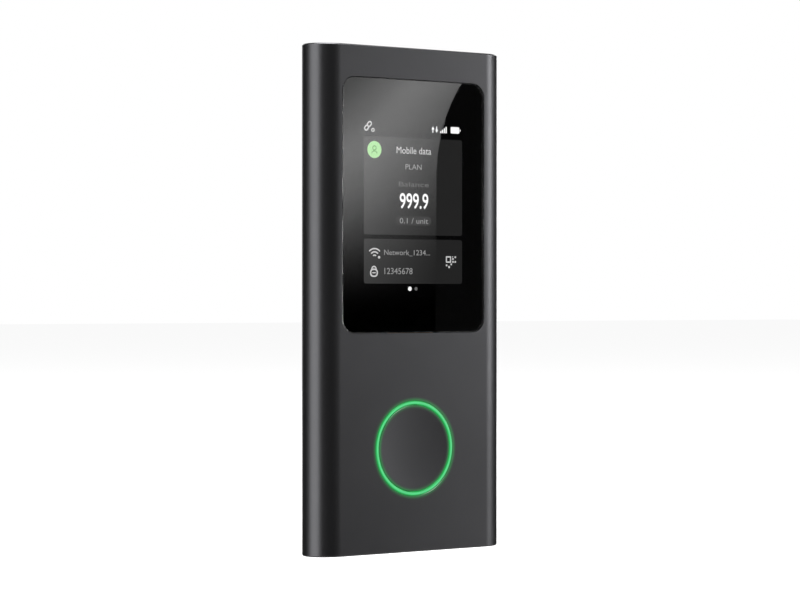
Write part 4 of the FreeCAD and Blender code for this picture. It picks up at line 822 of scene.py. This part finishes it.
# A lock: a ring with a bow above it.
fill(icons, rounded_box(icons, -14.7, -12.1, 75.8, 78.1, 1.0, sheet_mark)
     + rounded_box(icons, -14.3, -12.5, 76.2, 77.7, 0.7, sheet_mark))
fill(icons, fan(icons, -13.4, 77.95, 0.55, 0.9, 90))
fill(icons, rounded_box(icons, -14.0, -12.8, 76.8, 77.1, 0.1, sheet_mark))
# The wireless mark: three bows and a dot.
for reach in (0.85, 1.75, 2.65):
    fill(icons, fan(icons, -13.2, 81.1, reach - 0.38, reach, 46))
fill(icons, circle(icons, -11.7, 81.2, 0.38, sheet_mark, 16))
# A square code: a box, blocks and dots.
fill(icons, rounded_box(icons, 11.1, 12.9, 79.9, 81.7, 0.15, sheet_mark)
     + rounded_box(icons, 11.45, 12.55, 80.25, 81.35, 0.1, sheet_mark))
for x, z, size in ((13.3, 79.9, 0.5), (14.1, 79.9, 0.5), (13.3, 80.7, 0.5), (14.1, 81.2, 0.5),
                   (11.1, 78.9, 0.5), (11.9, 78.4, 0.6), (12.7, 79.2, 0.5), (13.3, 81.4, 0.3)):
    fill(icons, rounded_box(icons, x, x + size, z, z + size, 0.1, sheet_mark))
finish_piece(icons, "picture_icons", tone_light, "housing", weighted=False)

# %% [markdown]
# The battery, the signal bars and the first page dot are the brightest marks.

# %% Status marks
marks = bmesh.new()
fill(marks, rounded_box(marks, 12.75, 15.75, 116.0, 117.8, 0.3, sheet_mark))
fill(marks, rounded_box(marks, 15.9, 16.2, 116.6, 117.2, 0.1, sheet_mark))
for step in range(4):
    left = 9.1 + 0.62 * step
    fill(marks, rounded_box(marks, left, left + 0.42, 115.95, 116.5 + 0.42 * step, 0.08,
                            sheet_mark))
# Two arrows for traffic up and down.
for x, low, high in ((6.6, 115.95, 117.75), (7.9, 117.75, 115.95)):
    shoulder = low + (high - low) * 0.5
    fill(marks, trace(marks, (x - 0.15, sheet_mark, low), TURN_Y, [
        ("to", (x + 0.15, sheet_mark, low)), ("to", (x + 0.15, sheet_mark, shoulder)),
        ("to", (x + 0.5, sheet_mark, shoulder)), ("to", (x, sheet_mark, high)),
        ("to", (x - 0.5, sheet_mark, shoulder)), ("to", (x - 0.15, sheet_mark, shoulder)),
        ("to", (x - 0.15, sheet_mark, low)),
    ]))
fill(marks, circle(marks, -1.3, 72.6, 0.62, sheet_mark, 24))
finish_piece(marks, "picture_status_marks", tone_white, "housing",
             weighted=False)
second_dot = bmesh.new()
fill(second_dot, circle(second_dot, 0.8, 72.6, 0.5, sheet_mark, 24))
finish_piece(second_dot, "picture_second_dot", tone_dim, "housing",
             weighted=False)

# %% [markdown]
# The badge is a pale green disc with a plain mark of a ring and a bow in deeper green.

# %% Badge
badge_x, badge_z, badge_radius = -13.25, 110.6, 2.35
badge = bmesh.new()
fill(badge, circle(badge, badge_x, badge_z, badge_radius, sheet_pill, 48))
finish_piece(badge, "picture_badge", tone_badge, "housing", weighted=False)
leaf = bmesh.new()
fill(leaf, circle(leaf, badge_x, badge_z + 0.45, 0.72, sheet_mark, 24)
     + circle(leaf, badge_x, badge_z + 0.45, 0.42, sheet_mark, 24))
fill(leaf, fan(leaf, badge_x, badge_z - 1.35, 0.85, 1.12, 70))
finish_piece(leaf, "picture_badge_mark", tone_leaf, "housing", weighted=False)

# %% [markdown]
# ## The light ring
# The light guide is a turned shape: a bead that fills the hole in the sleeve, and a wider
# flange behind the sleeve that catches the diodes' light. Its section is drawn once and
# spun round, and the two front edges of the bead are then rounded.

# %% The light ring
RING_STEPS = 160
flange_radius = ring_high.x
flange_front = inner_front
bead_round = 0.25
ring = bmesh.new()
lathe(ring, trace(ring, (ring_inner, ring_low.y, ring_height), TURN_Y, [
    ("to", (ring_outer, ring_low.y, ring_height)),
    ("to", (ring_outer, flange_front, ring_height)),
    ("to", (flange_radius, flange_front, ring_height)),
    ("to", (flange_radius, ring_high.y, ring_height)),
    ("to", (ring_inner, ring_high.y, ring_height)),
    ("to", (ring_inner, ring_low.y, ring_height)),
]), RING_STEPS)
# The crest is the two round edges at the front: level with it, and all at one radius.
crest = [e for e in ring.edges
         if all(abs(v.co.y - ring_low.y) < MERGE for v in e.verts)
         and len({round(math.hypot(v.co.x, v.co.z - ring_height), 2) for v in e.verts}) == 1]
bmesh.ops.bevel(
    ring, geom=crest, offset=bead_round, segments=4, profile=0.5, affect="EDGES", material=-1
)
finish_piece(ring, "light_ring_guide", light_guide, "housing", ["light_ring"])

# %% [markdown]
# ## The button
# The button's cap is turned from bar: a shallow round dish for the fingertip, a narrow
# flat lip and a broken edge. The dish is part of a sphere, so its section is a vertex
# spun about the sphere's far centre.

# %% The button
button_radius = button_high.x
button_lip = 0.35
button_dish = 0.45
rim_break = 0.1
dish_radius_across = button_radius - button_lip
dish_sphere = (dish_radius_across**2 + button_dish**2) / (2 * button_dish)
dish_turn = math.degrees(math.asin(dish_radius_across / dish_sphere))
dish_floor = button_low.y + button_dish
button = bmesh.new()
lathe(button, trace(button, (0, dish_floor, ring_height), TURN_Z, [
    ("turn", (0, dish_floor - dish_sphere, ring_height), -dish_turn, 16),
    ("to", (button_radius - rim_break, button_low.y, ring_height)),
    ("to", (button_radius, button_low.y + rim_break, ring_height)),
    ("to", (button_radius, button_high.y, ring_height)),
    ("to", (0, button_high.y, ring_height)),
]), RING_STEPS)
finish_piece(button, "button_dished_cap", anodised, "home_button",
             ["button_cap"])
print(f"button dish: part of a sphere of {dish_sphere:.0f} mm radius")

# %% [markdown]
# ## The snap dome
# Under the button a thin domed disc of spring steel gives the click. The real one
# flattens as the plunger comes down on it; here a copy of its engineering shape rides on
# the housing with a mesh of its own, at its full height.

# %% The snap dome
dome = bmesh.new()
dome.from_mesh(frame["nodes"]["switch_dome"].data)
bmesh.ops.scale(dome, vec=(1 / MM, 1 / MM, 1 / MM), verts=dome.verts[:])
snap_dome = finish_piece(dome, "snap_dome", shield_steel, "housing",
                         ["switch_dome"], weighted=False)
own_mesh(snap_dome)

# %% [markdown]
# ## Contacts in the charging socket
# The socket's tongue carries twelve gold contacts on each side, 0.5 mm apart. They are
# thin blocks let into the tongue, and each keeps only a few faces.

# %% Contacts in the charging socket
CONTACTS_PER_SIDE = 12
contact_pitch = 0.5
contact_width, contact_length, contact_height = 0.25, 3.4, 0.03
contact_start = 0.5
tongue_low, tongue_high = box_mm("usb_socket_tongue")
tongue_middle = (tongue_low.y + tongue_high.y) / 2
tongue_half = 0.35
contacts = bmesh.new()
for side in (-1, 1):
    for index in range(CONTACTS_PER_SIDE):
        x = (index - (CONTACTS_PER_SIDE - 1) / 2) * contact_pitch
        place = Matrix.Translation((
            x, tongue_middle + side * (tongue_half + contact_height / 4),
            tongue_low.z + contact_start + contact_length / 2,
        )) @ Matrix.Diagonal((contact_width, contact_height, contact_length, 1))
        bmesh.ops.create_cube(contacts, size=1, matrix=place)
finish_piece(contacts, "usb_contacts", spring_bronze, "housing",
             weighted=False)

# %% [markdown]
# ## Floor and room
# The device stands on a plain white floor in a white room. The floor is mostly its own
# white, with a little ordinary diffuse white that can hold a soft contact shadow. Metal
# this dark shows whatever it mirrors, so the floor stays out of reflections, the room
# gives them only a faint even tone, and the soft boxes below give the rest.

# %% Floor and room
FLOOR_REACH, FLOOR_GLOW, ROOM_TONE = 6.0, 0.93, 0.02
floor = bpy.data.objects.new("studio_floor", bpy.data.meshes.new("studio_floor"))
floor_sheet = bmesh.new()
bmesh.ops.create_grid(floor_sheet, x_segments=1, y_segments=1, size=FLOOR_REACH)
floor_sheet.to_mesh(floor.data)
floor_sheet.free()
bpy.context.scene.collection.objects.link(floor)
floor_white = new_material("studio_floor_white")
shade(floor_white, Base_Color=(0.8, 0.8, 0.8, 1), Roughness=1.0, Specular_IOR_Level=0.0,
      Emission_Color=(1, 1, 1, 1), Emission_Strength=FLOOR_GLOW)
floor.data.materials.append(floor_white)
floor.visible_glossy = False
floor.visible_diffuse = False
floor.visible_transmission = False
floor.visible_shadow = False

room = bpy.data.worlds.new("studio_room")
bpy.context.scene.world = room
room.use_nodes = True
nodes = room.node_tree.nodes
nodes.clear()
seen = nodes.new("ShaderNodeBackground")
seen.inputs["Color"].default_value = (1, 1, 1, 1)
seen.inputs["Strength"].default_value = 1.0
felt = nodes.new("ShaderNodeBackground")
felt.inputs["Color"].default_value = (1, 1, 1, 1)
felt.inputs["Strength"].default_value = ROOM_TONE
ray = nodes.new("ShaderNodeLightPath")
which = nodes.new("ShaderNodeMixShader")
end = nodes.new("ShaderNodeOutputWorld")
room.node_tree.links.new(ray.outputs["Is Camera Ray"], which.inputs[0])
room.node_tree.links.new(felt.outputs[0], which.inputs[1])
room.node_tree.links.new(seen.outputs[0], which.inputs[2])
room.node_tree.links.new(which.outputs[0], end.inputs["Surface"])
bpy.context.scene.view_settings.view_transform = "Standard"

# %% [markdown]
# ## Soft boxes
# Long edges of light describe a curved metal side better than any lamp. A wide box on the
# left draws the broad bright band down that side, a narrow strip on the right draws the
# line down the other, one above grades the face, and two behind keep the back readable.
# The left and the right ones are split, so that the foot can be darker than the top.
# One that faces up from below stands for the white floor, as the metal mirrors it when
# the device is seen from above.
# Angles are counted from straight in front of the screen, positive towards the device's
# left as one faces it. The boxes reach below the floor, which lets their light through,
# so that the foot is lit like the top.

# %% Soft boxes
def soft_box(name, angle, distance, width, low, high, radiance):
    """An upright rectangle of light that faces the device, given by how bright it is."""
    lamp = bpy.data.lights.new(name, "AREA")
    lamp.shape = "RECTANGLE"
    lamp.size, lamp.size_y = width, high - low
    lamp.energy = radiance * math.pi * width * (high - low)
    holder = bpy.data.objects.new(name, lamp)
    turn = math.radians(angle)
    way = Vector((-math.sin(turn), -math.cos(turn), 0))
    holder.location = way * distance + Vector((0, 0, (low + high) / 2))
    holder.rotation_euler = (-way).to_track_quat("-Z", "Y").to_euler()
    holder.visible_camera = False
    bpy.context.scene.collection.objects.link(holder)
    return holder


soft_box("left_box", 86, 0.9, 0.8, -0.5, 1.1, 2.0)
soft_box("left_upper_box", 86, 0.9, 0.8, 0.5, 1.1, 3.0)
soft_box("left_front_strip", 64, 0.9, 0.16, -0.5, 1.1, 1.0)
soft_box("right_strip", -60, 0.5, 0.08, 0.05, 0.3, 10.0)
soft_box("right_low_strip", -60, 0.5, 0.08, -0.3, 0.05, 2.0)
soft_box("right_front_box", -50, 0.5, 0.12, -0.3, 0.5, 1.0)
soft_box("right_back_box", -130, 0.8, 0.2, -0.2, 0.9, 5.0)
soft_box("back_box", 200, 1.2, 0.8, -0.1, 0.9, 0.8)
top_box = soft_box("top_box", 0, 0.1, 0.6, 0.5, 1.1, 7.0)
top_box.rotation_euler = (0, 0, 0)
floor_glow = soft_box("floor_glow_box", 0, 0.0, 1.4, -1.2, 0.2, 0.6)
floor_glow.rotation_euler = (math.pi, 0, 0)

# %% [markdown]
# ## The card that the glass mirrors
# A sheet of glass shows a graded reflection only where something graded stands in front
# of it. This card stands beside the camera's line: dark at its foot, bright above, with a
# curved right edge. Its outline is drawn like any other. A point of the glass mirrors the
# card's point that lies on the camera's line folded there, so the camera's place also
# says how many times larger the card has to be than what the glass shows of it.

# %% The mirrored card
CARD_DEPTH = -600
CAMERA_SPOT = Vector((-412.9, -573.95, 69.5))
spread = (glass_low.y - CARD_DEPTH) / (glass_low.y - CAMERA_SPOT.y)
card_scale = 1 + spread
print(f"the card is {card_scale:.3f} times larger than what the glass shows of it")
card = bmesh.new()
card_left, card_foot, card_top = 215, 20, 620
edge_foot, edge_bend = 446.5, (447.5, 140)
edge_radius, edge_turn, edge_steps = 89, 60, 16
card_right, card_shoulder = 600, 240
edge_line = trace(card, (card_left, CARD_DEPTH, card_foot), TURN_Y, [
    ("to", (edge_foot, CARD_DEPTH, card_foot)),
    ("to", (edge_bend[0], CARD_DEPTH, edge_bend[1])),
    ("turn", (edge_bend[0] + edge_radius, CARD_DEPTH, edge_bend[1]), edge_turn, edge_steps),
    ("to", (card_right, CARD_DEPTH, card_shoulder)),
    ("to", (card_right, CARD_DEPTH, card_top)),
    ("to", (card_left, CARD_DEPTH, card_top)),
    ("to", (card_left, CARD_DEPTH, card_foot)),
])
bmesh.ops.triangle_fill(card, use_beauty=True, edges=edge_line, normal=(0, 1, 0))
bmesh.ops.scale(card, vec=(MM, MM, MM), verts=card.verts[:])
card_mesh = bpy.data.meshes.new("mirrored_card")
card.to_mesh(card_mesh)
card.free()
card_object = bpy.data.objects.new("mirrored_card", card_mesh)
bpy.context.scene.collection.objects.link(card_object)
card_light = new_material("mirrored_card_light")
where = add(card_light, "ShaderNodeTexCoord")
# The card's own place in metres, as the place in millimetres where the glass shows it.
shown = add(
    card_light, "ShaderNodeMapping", Vector=where.outputs["Object"],
    Location=(spread * CAMERA_SPOT.x / card_scale, 0, spread * CAMERA_SPOT.z / card_scale),
    Scale=(1 / (MM * card_scale), 1, 1 / (MM * card_scale)),
)
split = add(card_light, "ShaderNodeSeparateXYZ", Vector=shown.outputs["Vector"])
# The ridge leans: it climbs from the glass's left edge, and the more so the higher up.
LEAN_START, LEAN_LOW, LEAN_HIGH = 21.0, 70.0, 125.0
slant = add(
    card_light, "ShaderNodeMapRange", Value=split.outputs["Z"],
    From_Min=LEAN_LOW, From_Max=LEAN_HIGH, To_Min=0.15, To_Max=0.85,
).outputs["Result"]
aside = add(card_light, "ShaderNodeMath", {"operation": "ADD"},
            i0=split.outputs["X"], i1=LEAN_START)
lean = add(card_light, "ShaderNodeMath", {"operation": "MULTIPLY"},
           i0=aside.outputs[0], i1=slant)
height = add(card_light, "ShaderNodeMath", {"operation": "SUBTRACT"},
             i0=split.outputs["Z"], i1=lean.outputs[0])
# A ridge of light: it swells from its foot to its crest, and dies away above that.
RIDGE_FOOT, RIDGE_CREST, RIDGE_END = 60.0, 112.0, 162.0
RIDGE_RADIANCE = 1.95
swell = add(
    card_light, "ShaderNodeMapRange", {"interpolation_type": "SMOOTHSTEP"},
    Value=height.outputs[0], From_Min=RIDGE_FOOT, From_Max=RIDGE_CREST,
).outputs["Result"]
fade = add(
    card_light, "ShaderNodeMapRange", Value=height.outputs[0],
    From_Min=RIDGE_CREST, From_Max=RIDGE_END, To_Min=1.0, To_Max=0.0,
).outputs["Result"]
ridge = add(card_light, "ShaderNodeMath", {"operation": "MULTIPLY"}, i0=swell, i1=fade)
softer = add(card_light, "ShaderNodeMath", {"operation": "POWER"},
             i0=ridge.outputs[0], i1=2.0)
level = add(card_light, "ShaderNodeMath", {"operation": "MULTIPLY"},
            i0=softer.outputs[0], i1=RIDGE_RADIANCE)
emit = add(card_light, "ShaderNodeEmission", Color=(1, 1, 1, 1), Strength=level.outputs[0])
card_light.node_tree.links.new(
    emit.outputs[0], card_light.node_tree.nodes["Material Output"].inputs["Surface"]
)
card_mesh.materials.append(card_light)
card_object.visible_camera = False

# %% [markdown]
# ## Camera
# A long lens at the height of the device's middle keeps its upright edges parallel.

# %% Camera
view = bpy.data.cameras.new("camera")
view.sensor_width = 36.0
view.lens = 114.45
view.shift_x = -0.0002
view.clip_start = 0.01
LOOKING = Vector((0.58354, 0.81208, 0))
camera = bpy.data.objects.new("camera", view)
camera.location = CAMERA_SPOT * MM
camera.rotation_euler = LOOKING.to_track_quat("-Z", "Y").to_euler()
bpy.context.scene.collection.objects.link(camera)
bpy.context.scene.camera = camera
